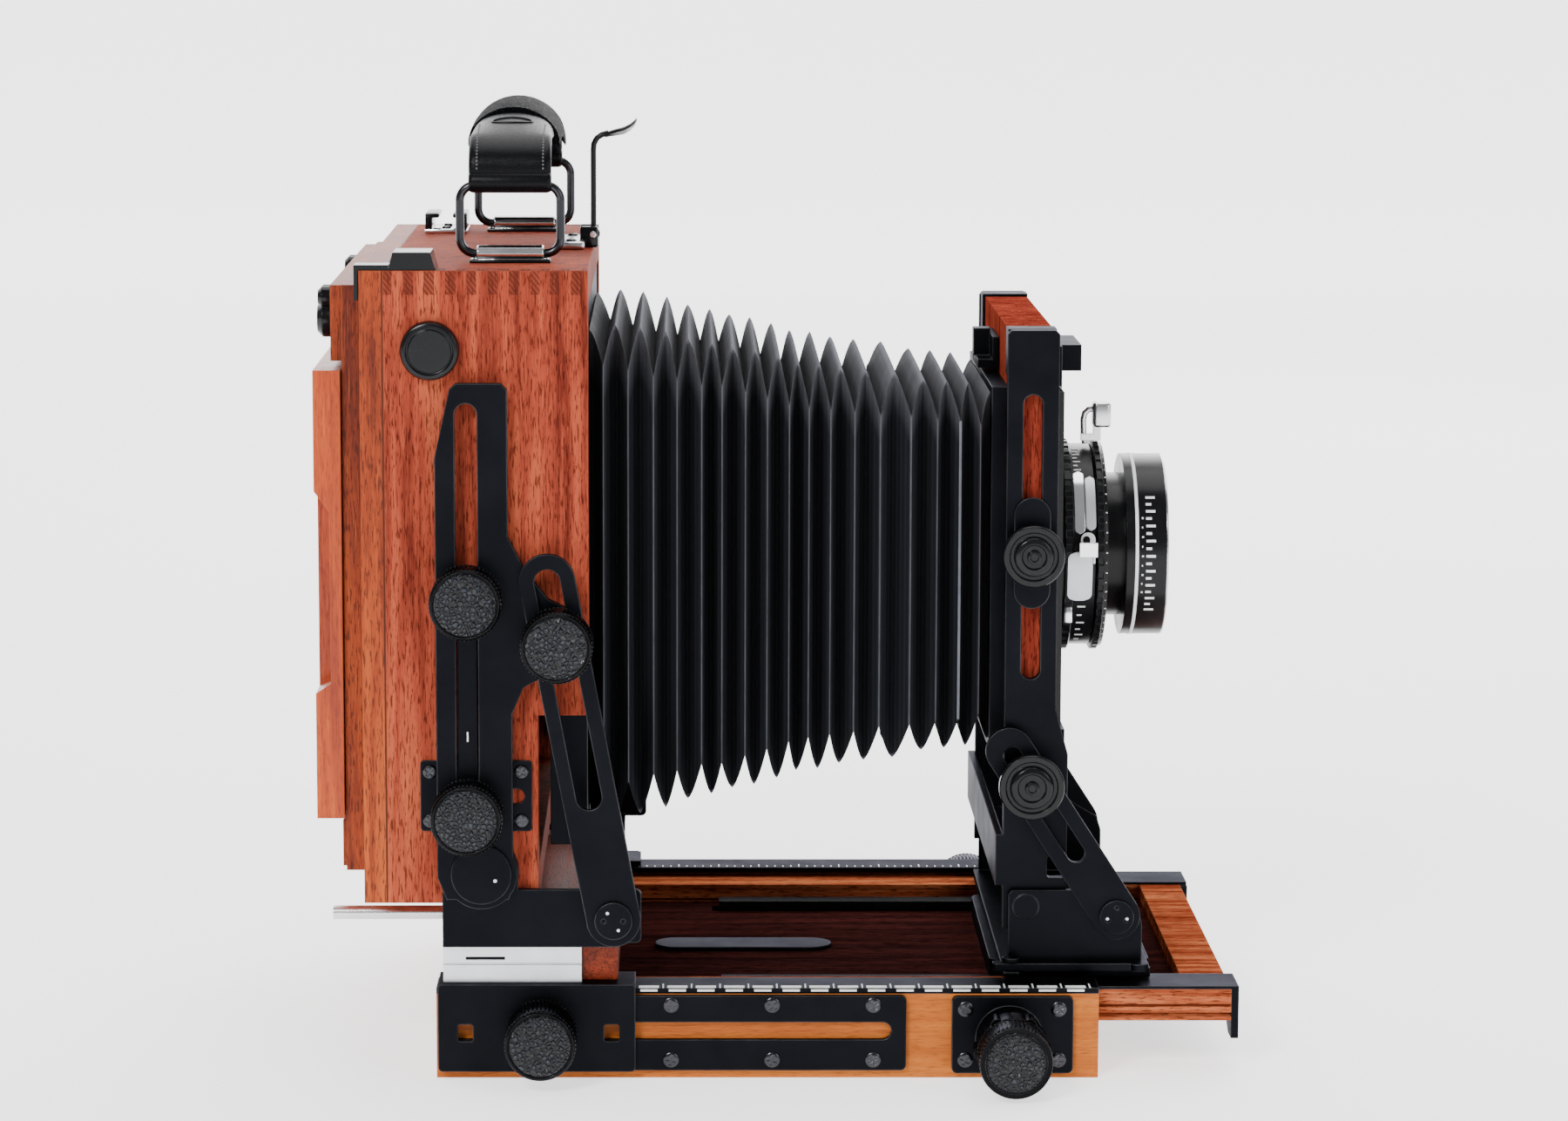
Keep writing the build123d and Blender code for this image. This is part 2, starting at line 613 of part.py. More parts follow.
with BuildPart() as bellows_hook:
    with BuildSketch(Plane.XZ.offset(-2.4)):
        with Locations((-47.5, BODY_TOP + 3.6)):
            Circle(1.8)
            Circle(0.9 + FIT, mode=Mode.SUBTRACT)
    extrude(amount=4.8)
    with BuildLine():
        hook_path = FilletPolyline((-47.5, 0, BODY_TOP + 5.0), (-47.5, 0, 246.4), (-41.5, 0, 248.2), radius=2.5)
    with BuildSketch(Plane(origin=hook_path @ 0, z_dir=hook_path % 0)):
        Circle(0.8)
    sweep()
    block(-42.2, -36.6, -3.2, 3.2, 247.5, 248.9)
bellows_hook.part.label = "bellows_hook"
export_step(bellows_hook.part, "parts/bellows_hook.step")

with BuildPart() as back_clip:
    block(-108.6, -99.5, -82.6, -74.6, BODY_TOP + 0.1, BODY_TOP + 1.4)
    block(-108.6, -107.5, -82.6, -74.6, 208.6, BODY_TOP + 1.4)
    with BuildSketch(near(68.0)):
        with BuildLine():
            Polyline((-99.6, 216.6), (-98.4, 221.2), (-88.6, 221.2), (-87.2, 216.6), close=True)
        make_face()
    extrude(amount=14.6)
back_clip.part.label = "back_clip"
export_step(back_clip.part, "parts/back_clip.step")

# ---- Carrying handle --------------------------------------------------------------------------------------

for name, side in (("handle_ring_right", -1), ("handle_ring_left", 1)):
    with BuildPart() as handle_ring:
        low_left = (HANDLE_X - RING_HALF_X, side * RING_Y, RING_BOTTOM)
        low_right = (HANDLE_X + RING_HALF_X, side * RING_Y, RING_BOTTOM)
        top_right = (HANDLE_X + RING_HALF_X, side * RING_Y, RING_TOP)
        top_left = (HANDLE_X - RING_HALF_X, side * RING_Y, RING_TOP)
        with BuildLine():
            FilletPolyline(low_left, low_right, top_right, top_left, radius=4.0, close=True)
        with BuildSketch(Plane(origin=(HANDLE_X, side * RING_Y, RING_BOTTOM), z_dir=(1, 0, 0))):
            Circle(WIRE_R)
        sweep()
    handle_ring.part.label = name
    export_step(handle_ring.part, f"parts/{name}.step")

STRAP_FOOT = RING_TOP + WIRE_R + 0.6
with BuildPart() as handle_strap:
    with BuildSketch(Plane.YZ.offset(HANDLE_X - STRAP_HALF_X)):
        with Locations((0, STRAP_FOOT)):
            Ellipse(RING_Y + STRAP_THICK / 2, STRAP_TOP - STRAP_FOOT)
            Ellipse(RING_Y - STRAP_THICK / 2, STRAP_TOP - STRAP_FOOT - STRAP_THICK, mode=Mode.SUBTRACT)
        with Locations((0, STRAP_FOOT - 50)):
            Rectangle(200, 100, mode=Mode.SUBTRACT)
    extrude(amount=2 * STRAP_HALF_X)
handle_strap.part.label = "handle_strap"
export_step(handle_strap.part, "parts/handle_strap.step")

# ---- Reversible back and focusing screen ------------------------------------------------------------------

with BuildPart() as reversible_back:
    frame_ring(BACK_REAR_X, BACK_FRAME_REAR_X, (74.0, 55.0, 212.0), (58.0, 78.0, 182.0))
    block(-115.8, BACK_REAR_X, -70, 70, 191.6, 211.6)
    block(-113.8, BACK_REAR_X, -70, 70, 55.4, 67.8)
reversible_back.part.label = "reversible_back"
export_step(reversible_back.part, "parts/reversible_back.step")

with BuildPart() as screen_frame:
    frame_ring(
        SCREEN_REAR_X, BACK_REAR_X - 0.3, (SCREEN_HALF_Y, SCREEN_BOTTOM, SCREEN_TOP), (50.0, 81.5, 178.5)
    )
    # Thumb hollows down both sides
    with BuildSketch(near(SCREEN_HALF_Y + 1)):
        with BuildLine():
            Polyline((-122, 102), (-116.2, 106), (-116.2, 152), (-122, 160), close=True)
        make_face()
    extrude(amount=-14, mode=Mode.SUBTRACT)
    with BuildSketch(near(-SCREEN_HALF_Y - 1)):
        with BuildLine():
            Polyline((-122, 102), (-116.2, 106), (-116.2, 152), (-122, 160), close=True)
        make_face()
    extrude(amount=14, mode=Mode.SUBTRACT)
    block(-116.4, -113.6, -53.5, 53.5, 78.5, 181.5, mode=Mode.SUBTRACT)
screen_frame.part.label = "screen_frame"
export_step(screen_frame.part, "parts/screen_frame.step")

with BuildPart() as focusing_screen:
    block(-116.4, -114.4, -53.5, 53.5, 78.5, 181.5)
focusing_screen.part.label = "focusing_screen"
export_step(focusing_screen.part, "parts/focusing_screen.step")

for name, y in (("back_latch_right", -50.0), ("back_latch_left", 50.0)):
    with BuildPart() as back_latch:
        with BuildSketch(Plane.YZ.offset(-118.6)):
            with Locations((y, 201.0)):
                Circle(5.0)
            with Locations((y, 206.5)):
                Circle(3.6)
            with Locations((y, 201.0)):
                Circle(1.5 + FIT, mode=Mode.SUBTRACT)
        extrude(amount=2.4)
    back_latch.part.label = name
    export_step(back_latch.part, f"parts/{name}.step")

# ---- Bellows ----------------------------------------------------------------------------------------------

with BuildPart() as bellows:
    with BuildSketch(Plane.YZ.offset(BELLOWS_REAR_X)):
        with Locations((0, LENS_Z)):
            Rectangle(2 * BELLOWS_REAR_HALF, 2 * BELLOWS_REAR_HALF)
    with BuildSketch(Plane.YZ.offset(BELLOWS_FRONT_X)):
        with Locations((0, LENS_Z)):
            Rectangle(2 * BELLOWS_FRONT_HALF, 2 * BELLOWS_FRONT_HALF)
    loft()
    with BuildSketch(Plane.YZ.offset(BELLOWS_REAR_X)):
        with Locations((0, LENS_Z)):
            Rectangle(2 * (BELLOWS_REAR_HALF - BELLOWS_WALL), 2 * (BELLOWS_REAR_HALF - BELLOWS_WALL))
    with BuildSketch(Plane.YZ.offset(BELLOWS_FRONT_X)):
        with Locations((0, LENS_Z)):
            Rectangle(2 * (BELLOWS_FRONT_HALF - BELLOWS_WALL), 2 * (BELLOWS_FRONT_HALF - BELLOWS_WALL))
    loft(mode=Mode.SUBTRACT)
bellows.part.label = "bellows"
export_step(bellows.part, "parts/bellows.step")

# ---- Front carriage ---------------------------------------------------------------------------------------

with BuildPart() as front_carriage:
    block(64, 104, -FOOT_OUTER_Y, FOOT_OUTER_Y, 23.1, 25.6)
    with Locations((SWING_X, 0, 24)):
        Cylinder(3.0 + FIT, 10, mode=Mode.SUBTRACT)
    with BuildSketch(near(FOOT_INNER_Y)):
        with BuildLine():
            Polyline(
                (65.4, 25.6),
                (65.4, 46.0),
                (66.5, 47.1),
                (92.0, 47.1),
                (100.4, 42.0),
                (101.6, 38.0),
                (101.6, 25.6),
                close=True,
            )
        make_face()
        with Locations(COLUMN_PIVOT):
            Circle(2.5, mode=Mode.SUBTRACT)
        with Locations(BRACE_PIVOT):
            Circle(2.2, mode=Mode.SUBTRACT)
    extrude(amount=FOOT_OUTER_Y - FOOT_INNER_Y)
    discs([COLUMN_PIVOT], 2.5, COLUMN_INNER_Y - 0.5, FOOT_OUTER_Y)
    discs([COLUMN_PIVOT], 3.5, FOOT_OUTER_Y, FOOT_OUTER_Y + 0.3)
    discs([COLUMN_PIVOT], 3.8, COLUMN_INNER_Y - 2.0, COLUMN_INNER_Y - 0.3)
    discs([BRACE_PIVOT], 2.2, FOOT_INNER_Y, BRACE_OUTER_Y + 0.3)
    discs([BRACE_PIVOT], 4.6, BRACE_OUTER_Y + 0.3, 66.5)
    holes([(BRACE_PIVOT[0] + 2.6 * math.cos(a), BRACE_PIVOT[1] + 2.6 * math.sin(a))
           for a in (math.pi / 2, math.radians(200), math.radians(340))], 0.6, 66.0, 67.0)
    mirror(about=Plane.XZ)
    block(64.0, 68.0, -68.8, -FOOT_OUTER_Y, 24.9, 25.7)
    with Locations((66.0, -66.8, 27.0)):
        Cylinder(1.3, 2.7)
    with Locations((66.0, -66.8, 28.9)):
        Cylinder(2.4, 1.1)
front_carriage.part.label = "front_carriage"
export_step(front_carriage.part, "parts/front_carriage.step")

with BuildPart() as swing_lock_lever:
    with BuildSketch(Plane.XY.offset(26.0)):
        with Locations((82.0, -66.8)):
            RectangleRounded(42.0, 3.4, 1.2)
        with Locations((100.5, -67.4)):
            Circle(2.6)
    extrude(amount=2.0)
    with Locations((66.0, -66.8, 27.0)):
        Cylinder(1.3 + FIT, 4.0, mode=Mode.SUBTRACT)
swing_lock_lever.part.label = "swing_lock_lever"
export_step(swing_lock_lever.part, "parts/swing_lock_lever.step")

# ---- Front columns and braces -----------------------------------------------------------------------------

COLUMN_REAR_X = COLUMN_X - COLUMN_WIDTH / 2
COLUMN_FRONT_X = COLUMN_X + COLUMN_WIDTH / 2
with BuildPart() as front_columns:
    with BuildSketch(near(COLUMN_INNER_Y)):
        with BuildLine():
            Polyline(
                (COLUMN_REAR_X, 36.0),
                (COLUMN_REAR_X, COLUMN_TOP - 1),
                (COLUMN_REAR_X + 1, COLUMN_TOP),
                (COLUMN_FRONT_X - 1, COLUMN_TOP),
                (COLUMN_FRONT_X, COLUMN_TOP - 1),
                (COLUMN_FRONT_X, 96.0),
                (COLUMN_FRONT_X + 3.4, 84.0),
                (COLUMN_FRONT_X + 3.4, 36.0),
                close=True,
            )
        make_face()
        with Locations((COLUMN_X, 143.0)):
            SlotOverall(77.0, 5.2, rotation=90, mode=Mode.SUBTRACT)
        with Locations((78.4, 53.0)):
            RectangleRounded(5.0, 6.0, 0.8, mode=Mode.SUBTRACT)
        with Locations(COLUMN_PIVOT):
            Circle(2.5 + FIT, mode=Mode.SUBTRACT)
        with Locations(BRACE_STUD):
            Circle(KNOB_STUD_R + FIT, mode=Mode.SUBTRACT)
    extrude(amount=COLUMN_OUTER_Y - COLUMN_INNER_Y)
    mirror(about=Plane.XZ)
    block(COLUMN_REAR_X - 2.0, COLUMN_REAR_X, -COLUMN_OUTER_Y, COLUMN_OUTER_Y, 48.0, 62.0)
front_columns.part.label = "front_columns"
export_step(front_columns.part, "parts/front_columns.step")

BRACE_REACH = math.dist(BRACE_STUD, BRACE_PIVOT)
BRACE_RUN = BRACE_STUD[0] - BRACE_PIVOT[0]
BRACE_RISE = BRACE_STUD[1] - BRACE_PIVOT[1]
BRACE_DIRECTION = (BRACE_RUN / BRACE_REACH, BRACE_RISE / BRACE_REACH)
BRACE_ANGLE = math.degrees(math.atan2(BRACE_DIRECTION[1], BRACE_DIRECTION[0]))


def on_brace(distance):
    """The (X, Z) point on the brace's middle line at this distance from its pivot."""
    return (BRACE_PIVOT[0] + distance * BRACE_DIRECTION[0], BRACE_PIVOT[1] + distance * BRACE_DIRECTION[1])


BRACE_LENGTH = BRACE_REACH + 10.4
BRACE_SLOT_LENGTH = 32.0
with BuildPart() as front_braces:
    with BuildSketch(near(BRACE_INNER_Y)):
        with Locations(on_brace(BRACE_LENGTH / 2)):
            SlotCenterToCenter(BRACE_LENGTH, 12.8, rotation=BRACE_ANGLE)
        with Locations(on_brace(BRACE_LENGTH - 1.4 - BRACE_SLOT_LENGTH / 2)):
            SlotCenterToCenter(BRACE_SLOT_LENGTH, 4.9, rotation=BRACE_ANGLE, mode=Mode.SUBTRACT)
        with Locations(BRACE_PIVOT):
            Circle(2.2 + FIT, mode=Mode.SUBTRACT)
    extrude(amount=BRACE_OUTER_Y - BRACE_INNER_Y)
    mirror(about=Plane.XZ)
front_braces.part.label = "front_braces"
export_step(front_braces.part, "parts/front_braces.step")

with BuildPart() as rise_sliders:
    with BuildSketch(near(COLUMN_OUTER_Y + 0.3)):
        with Locations(RISE_STUD):
            SlotOverall(30.0, 9.8, rotation=90)
    extrude(amount=1.0)
    with BuildSketch(near(COLUMN_INNER_Y - 0.3)):
        with Locations(RISE_STUD):
            SlotOverall(14.0, 4.7, rotation=90)
    extrude(amount=COLUMN_OUTER_Y - COLUMN_INNER_Y + 0.6)
    discs([RISE_STUD], 2.0, 52.0, COLUMN_INNER_Y - 0.3)
    holes([RISE_STUD], 1.2 + FIT, 58.0, 63.0)
    mirror(about=Plane.XZ)
rise_sliders.part.label = "rise_sliders"
export_step(rise_sliders.part, "parts/rise_sliders.step")

# ---- Lens frame, board and catches ------------------------------------------------------------------------

with BuildPart() as lens_frame:
    frame_ring(
        FRAME_REAR_X, FRAME_FRONT_X, (FRAME_HALF_Y, FRAME_BOTTOM, FRAME_TOP), (40.0, LENS_Z - 40, LENS_Z + 40)
    )
    for side in (-1, 1):
        holes([RISE_STUD], 2.0 + FIT, side * 54.5 - 3, side * 54.5 + 3)
lens_frame.part.label = "lens_frame"
export_step(lens_frame.part, "parts/lens_frame.step")

with BuildPart() as frame_fittings:
    block(FRAME_REAR_X - 0.8, FRAME_FRONT_X + 0.2, -FRAME_HALF_Y, -49, FRAME_TOP, FRAME_TOP + 0.8)
    block(FRAME_REAR_X - 0.8, FRAME_REAR_X, -FRAME_HALF_Y, -49, 186, FRAME_TOP + 0.8)
    mirror(about=Plane.XZ)
    block(FRAME_FRONT_X, BOARD_FRONT_X + 1.6, -42, 42, LENS_Z - BOARD_HALF_Y - 5, LENS_Z - BOARD_HALF_Y - 0.1)
    block(BOARD_FRONT_X + 0.2, BOARD_FRONT_X + 1.6, -42, 42, LENS_Z - BOARD_HALF_Y - 0.1, LENS_Z - 45.5)
frame_fittings.part.label = "frame_fittings"
export_step(frame_fittings.part, "parts/frame_fittings.step")

with BuildPart() as bellows_front_frame:
    frame_ring(60.6, FRAME_REAR_X, (48.5, LENS_Z - 49.5, LENS_Z + 49.5), (38.0, LENS_Z - 38, LENS_Z + 38))
bellows_front_frame.part.label = "bellows_front_frame"
export_step(bellows_front_frame.part, "parts/bellows_front_frame.step")

with BuildPart() as bellows_latch:
    block(59.0, FRAME_REAR_X - 0.3, -13, 13, 183.8, 186.2)
    block(63.0, FRAME_REAR_X - 0.3, -13, 13, 186.2, 192.4)
    block(58.4, 63.0, -3, 3, 186.2, 193.8)
bellows_latch.part.label = "bellows_latch"
export_step(bellows_latch.part, "parts/bellows_latch.step")

with BuildPart() as lens_board:
    frame_bottom = LENS_Z - BOARD_HALF_Y
    block(BOARD_REAR_X, BOARD_FRONT_X, -BOARD_HALF_Y, BOARD_HALF_Y, frame_bottom, LENS_Z + BOARD_HALF_Y)
    with BuildSketch(Plane.YZ.offset(BOARD_REAR_X)):
        with Locations((0, LENS_Z)):
            Circle(TUBE_R + 0.1)
    extrude(amount=3.0, mode=Mode.SUBTRACT)
lens_board.part.label = "lens_board"
export_step(lens_board.part, "parts/lens_board.step")

with BuildPart() as board_latch:
    block(FRAME_FRONT_X + 0.2, 82.0, -18, 18, 181.4, 190.2)
    block(82.0, 87.6, -14, 14, 183.0, 190.2)
    block(BOARD_FRONT_X + 0.3, 82.0, -18, 18, 178.6, 181.4)
board_latch.part.label = "board_latch"
export_step(board_latch.part, "parts/board_latch.step")

# ---- Lens and shutter -------------------------------------------------------------------------------------

with BuildPart() as shutter_body:
    lens_ring(SHUTTER_R, 16.0, BOARD_FRONT_X, 82.0)
    lens_ring(SHUTTER_R, 24.0, 82.0, 91.0)
    lens_ring(24.0, 19.0, 91.0, 94.6)
    lens_ring(TUBE_R, 16.0, 73.0, BOARD_FRONT_X)
shutter_body.part.label = "shutter_body"
export_step(shutter_body.part, "parts/shutter_body.step")

with BuildPart() as aperture_ring:
    lens_ring(RING_R, SHUTTER_R + 0.1, 82.4, 85.0)
    block(82.6, 84.6, -30.0, -26.0, LENS_Z - 16, LENS_Z - 12)
aperture_ring.part.label = "aperture_ring"
export_step(aperture_ring.part, "parts/aperture_ring.step")

with BuildPart() as speed_ring:
    lens_ring(RING_R, 24.1, 91.3, 94.4)
speed_ring.part.label = "speed_ring"
export_step(speed_ring.part, "parts/speed_ring.step")

with BuildPart() as leaf_blades:
    lens_ring(18.8, 0, 89.2, 89.6)
    lens_ring(23.8, 9.0, 86.4, 86.9)
leaf_blades.part.label = "leaf_blades"
export_step(leaf_blades.part, "parts/leaf_blades.step")

with BuildPart() as lens_cells:
    lens_ring(16.0, 13.0, 66.0, 80.0)
    lens_ring(18.0, 13.0, 64.0, 73.0)
    lens_ring(19.0, 16.5, 90.6, 94.6)
    lens_ring(NECK_R, 16.5, 94.6, 99.9)
    lens_ring(FRONT_RING_R, 16.5, 99.9, 103.0)
    lens_ring(FRONT_RING_R, 20.5, 103.0, 107.0)
    lens_ring(FRONT_RING_R, FILTER_R, 107.0, 111.2)
    lens_ring(24.5, TUBE_R, 75.2, BOARD_REAR_X)
lens_cells.part.label = "lens_cells"
export_step(lens_cells.part, "parts/lens_cells.step")

with BuildPart() as lens_glasses:
    lens_ring(13.0, 0, 66.5, 71.0)
    lens_ring(16.5, 0, 96.0, 103.0)
lens_glasses.part.label = "lens_glasses"
export_step(lens_glasses.part, "parts/lens_glasses.step")

with BuildPart() as cocking_lever:
    block(91.9, 93.9, -6.0, -3.0, LENS_Z + RING_R + 0.2, LENS_Z + 38.0)
    block(91.9, 96.2, -7.0, -2.0, LENS_Z + 35.0, LENS_Z + 40.0)
    block(88.4, 91.9, -6.0, -3.0, LENS_Z + RING_R + 0.2, LENS_Z + RING_R + 2.2)
cocking_lever.part.label = "cocking_lever"
export_step(cocking_lever.part, "parts/cocking_lever.step")

with BuildPart() as release_lever:
    block(86.0, 88.0, -33.0, -SHUTTER_R - 0.4, LENS_Z + 1.0, LENS_Z + 5.0)
    block(86.0, 91.0, -34.4, -33.0, LENS_Z + 1.0, LENS_Z + 5.0)
release_lever.part.label = "release_lever"
export_step(release_lever.part, "parts/release_lever.step")

# ---- Clamping knobs, one each side of the camera, named for what they hold --------------------------------

KNOBS = {
    "rise_knobs": (UPPER_KNOB, KNOB_R, KNOB_STUD_R, 76.0, 88.7, 99.0),
    "guide_knobs": (LOWER_KNOB, KNOB_R, KNOB_STUD_R, 76.0, 89.8, 100.0),
    "strut_knobs": (STRUT_STUD, KNOB_R, KNOB_STUD_R, ARM_INNER_Y, 91.0, 101.0),
    "carriage_knobs": ((CLAMP_KNOB_X, SLOT_Z), KNOB_R, KNOB_STUD_R, BASE_HALF_Y + 0.3, 86.6, 101.0),
    "brace_knobs": (BRACE_STUD, 8.8, KNOB_STUD_R, COLUMN_INNER_Y, 66.0, 73.0),
    "front_rise_knobs": (RISE_STUD, 8.3, 1.2, 58.2, 62.7, 70.5),
}
for knob_name, (centre, radius, stud, inner_y, knob_y, face_y) in KNOBS.items():
    with BuildPart() as knob:
        discs([centre], stud, inner_y, knob_y)
        discs([centre], radius, knob_y, face_y)
        discs([centre], radius - 1.3, face_y, face_y + KNOB_FACE)
        mirror(about=Plane.XZ)
    knob.part.label = knob_name
    export_step(knob.part, f"parts/{knob_name}.step")
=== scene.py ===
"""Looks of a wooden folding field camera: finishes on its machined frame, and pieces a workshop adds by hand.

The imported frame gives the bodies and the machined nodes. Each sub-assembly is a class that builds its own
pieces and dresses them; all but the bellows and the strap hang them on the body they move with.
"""

import logging
import math
import random
from dataclasses import dataclass
from enum import Enum
from typing import Callable, Optional, Sequence

import bpy
from mathutils import Matrix, Vector


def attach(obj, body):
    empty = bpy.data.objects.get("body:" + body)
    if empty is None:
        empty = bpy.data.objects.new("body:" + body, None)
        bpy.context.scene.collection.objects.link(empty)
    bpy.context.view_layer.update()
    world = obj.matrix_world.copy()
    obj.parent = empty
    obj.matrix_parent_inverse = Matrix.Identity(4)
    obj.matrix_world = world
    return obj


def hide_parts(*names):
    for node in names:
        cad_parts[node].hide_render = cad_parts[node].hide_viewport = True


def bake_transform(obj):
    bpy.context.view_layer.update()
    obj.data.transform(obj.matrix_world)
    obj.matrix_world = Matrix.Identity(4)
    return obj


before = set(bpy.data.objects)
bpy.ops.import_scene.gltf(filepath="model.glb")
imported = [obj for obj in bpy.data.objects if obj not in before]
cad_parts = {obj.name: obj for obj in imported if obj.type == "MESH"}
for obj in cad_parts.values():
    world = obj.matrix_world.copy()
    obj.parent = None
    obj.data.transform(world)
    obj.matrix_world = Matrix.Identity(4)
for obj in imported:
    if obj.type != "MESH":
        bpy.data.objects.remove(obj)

MM = 0.001
LOG = logging.getLogger("field_camera")
Colour = tuple[float, float, float]
Point = tuple[float, float, float]
Size = tuple[float, float]
Ring = tuple[float, float, float, float]
Piece = bpy.types.Object
Socket = bpy.types.NodeSocket


class Axis(Enum):
    """The way that a grain or a turned piece runs."""

    X = Vector((1, 0, 0))
    Y = Vector((0, 1, 0))
    Z = Vector((0, 0, 1))
    MINUS_Y = Vector((0, -1, 0))
    MINUS_X = Vector((-1, 0, 0))


# ---- Shader bench -----------------------------------------------------------------------------------------

MIX_FIRST_COLOUR, MIX_SECOND_COLOUR, MIX_COLOUR_OUT = 6, 7, 2
"""Places of the colour sockets on a Mix node, which has a set of sockets for each kind of data."""

class Bench:
    """A material under construction, with short names for the nodes that the finishes share."""

    def __init__(self, name: str) -> None:
        """Starts a material with a Principled shader.

        Args:
            name: the material's name.
        """
        self.material = bpy.data.materials.new(name)
        self.material.use_nodes = True
        self.nodes = self.material.node_tree.nodes
        self.links = self.material.node_tree.links
        self.shader = self.nodes["Principled BSDF"]
        self.object_coords = self.nodes.new("ShaderNodeTexCoord").outputs["Object"]

    def feed(self, value, socket) -> None:
        """Links a socket, or sets a plain value on one.

        Args:
            value: an output socket, a number or a colour.
            socket: the input that takes it.
        """
        if isinstance(value, bpy.types.NodeSocket):
            self.links.new(value, socket)
        elif isinstance(value, tuple) and len(value) == 3 and socket.type == "RGBA":
            socket.default_value = (*value, 1.0)
        else:
            socket.default_value = value

    def stretch(self, scale: Point) -> Socket:
        """Object coordinates scaled along each axis.

        Args:
            scale: how many pattern units a metre holds, along X, Y and Z.

        Returns:
            The scaled coordinates.
        """
        mapping = self.nodes.new("ShaderNodeMapping")
        mapping.inputs["Scale"].default_value = scale
        self.links.new(self.object_coords, mapping.inputs["Vector"])
        return mapping.outputs["Vector"]

    def noise(
        self, vector: Socket, scale: float, detail: float, rough: float = 0.55, distort: float = 0.0
    ) -> Socket:
        """A noise value, from 0 to 1.

        Args:
            vector: the coordinates.
            scale: the pattern's scale.
            detail: octaves.
            rough: how strong the finer octaves are.
            distort: how far the pattern is warped.

        Returns:
            The noise's factor output.
        """
        node = self.nodes.new("ShaderNodeTexNoise")
        self.links.new(vector, node.inputs["Vector"])
        settings = {"Scale": scale, "Detail": detail, "Roughness": rough, "Distortion": distort}
        for key, value in settings.items():
            node.inputs[key].default_value = value
        return node.outputs["Fac"]

    def cells(self, vector: Socket, scale: float) -> Socket:
        """Distance to the nearest cell edge.

        Args:
            vector: the coordinates.
            scale: cells to a unit.

        Returns:
            The distance output.
        """
        node = self.nodes.new("ShaderNodeTexVoronoi")
        node.feature = "DISTANCE_TO_EDGE"
        self.links.new(vector, node.inputs["Vector"])
        node.inputs["Scale"].default_value = scale
        return node.outputs["Distance"]

    def ramp(self, value: Socket, stops: Sequence[tuple[float, Colour]]) -> Socket:
        """A colour looked up along stops.

        Args:
            value: the factor.
            stops: (place, colour) pairs in order.

        Returns:
            The colour output.
        """
        node = self.nodes.new("ShaderNodeValToRGB")
        band = node.color_ramp
        while len(band.elements) < len(stops):
            band.elements.new(1.0)
        for element, (place, colour) in zip(band.elements, stops):
            element.position = place
            element.color = (*colour, 1.0)
        self.feed(value, node.inputs["Fac"])
        return node.outputs["Color"]

    def span(
        self, value: Socket, low: float, high: float, to_low: float = 0.0, to_high: float = 1.0
    ) -> Socket:
        """Maps a range of values on to another, clamped.

        Args:
            value: the factor.
            low: value that gives to_low.
            high: value that gives to_high.
            to_low: result at low.
            to_high: result at high.

        Returns:
            The mapped value.
        """
        node = self.nodes.new("ShaderNodeMapRange")
        self.feed(value, node.inputs["Value"])
        for key, number in (("From Min", low), ("From Max", high), ("To Min", to_low), ("To Max", to_high)):
            node.inputs[key].default_value = number
        return node.outputs["Result"]

    def mix(self, factor, first, second) -> Socket:
        """Two colours mixed.

        Args:
            factor: share of the second.
            first: colour or socket.
            second: colour or socket.

        Returns:
            The mixed colour.
        """
        node = self.nodes.new("ShaderNodeMix")
        node.data_type = "RGBA"
        self.feed(factor, node.inputs["Factor"])
        self.feed(first, node.inputs[MIX_FIRST_COLOUR])
        self.feed(second, node.inputs[MIX_SECOND_COLOUR])
        return node.outputs[MIX_COLOUR_OUT]

    def sum(self, operation: str, first, second=0.0) -> Socket:
        """One step of arithmetic.

        Args:
            operation: the Math node's operation.
            first: number or socket.
            second: number or socket.

        Returns:
            The result.
        """
        node = self.nodes.new("ShaderNodeMath")
        node.operation = operation
        self.feed(first, node.inputs[0])
        self.feed(second, node.inputs[1])
        return node.outputs["Value"]

    def axis_value(self, axis: str) -> Socket:
        """One object coordinate in metres.

        Args:
            axis: X, Y or Z.

        Returns:
            The coordinate.
        """
        node = self.nodes.new("ShaderNodeSeparateXYZ")
        self.links.new(self.object_coords, node.inputs["Vector"])
        return node.outputs[axis]

    def attribute(self, name: str) -> Socket:
        """A float attribute of the mesh.

        Args:
            name: the attribute.

        Returns:
            Its value.
        """
        node = self.nodes.new("ShaderNodeAttribute")
        node.attribute_name = name
        return node.outputs["Fac"]

    def soft_edges(self, radius: float) -> tuple[Socket, Socket]:
        """A normal that rounds sharp edges.

        Args:
            radius: the rounding in metres.

        Returns:
            (rounded normal, value that rises towards an edge).
        """
        bevel = self.nodes.new("ShaderNodeBevel")
        bevel.samples = 6
        bevel.inputs["Radius"].default_value = radius
        plain = self.nodes.new("ShaderNodeNewGeometry")
        dot = self.nodes.new("ShaderNodeVectorMath")
        dot.operation = "DOT_PRODUCT"
        self.links.new(bevel.outputs["Normal"], dot.inputs[0])
        self.links.new(plain.outputs["Normal"], dot.inputs[1])
        return bevel.outputs["Normal"], self.sum("SUBTRACT", 1.0, dot.outputs["Value"])

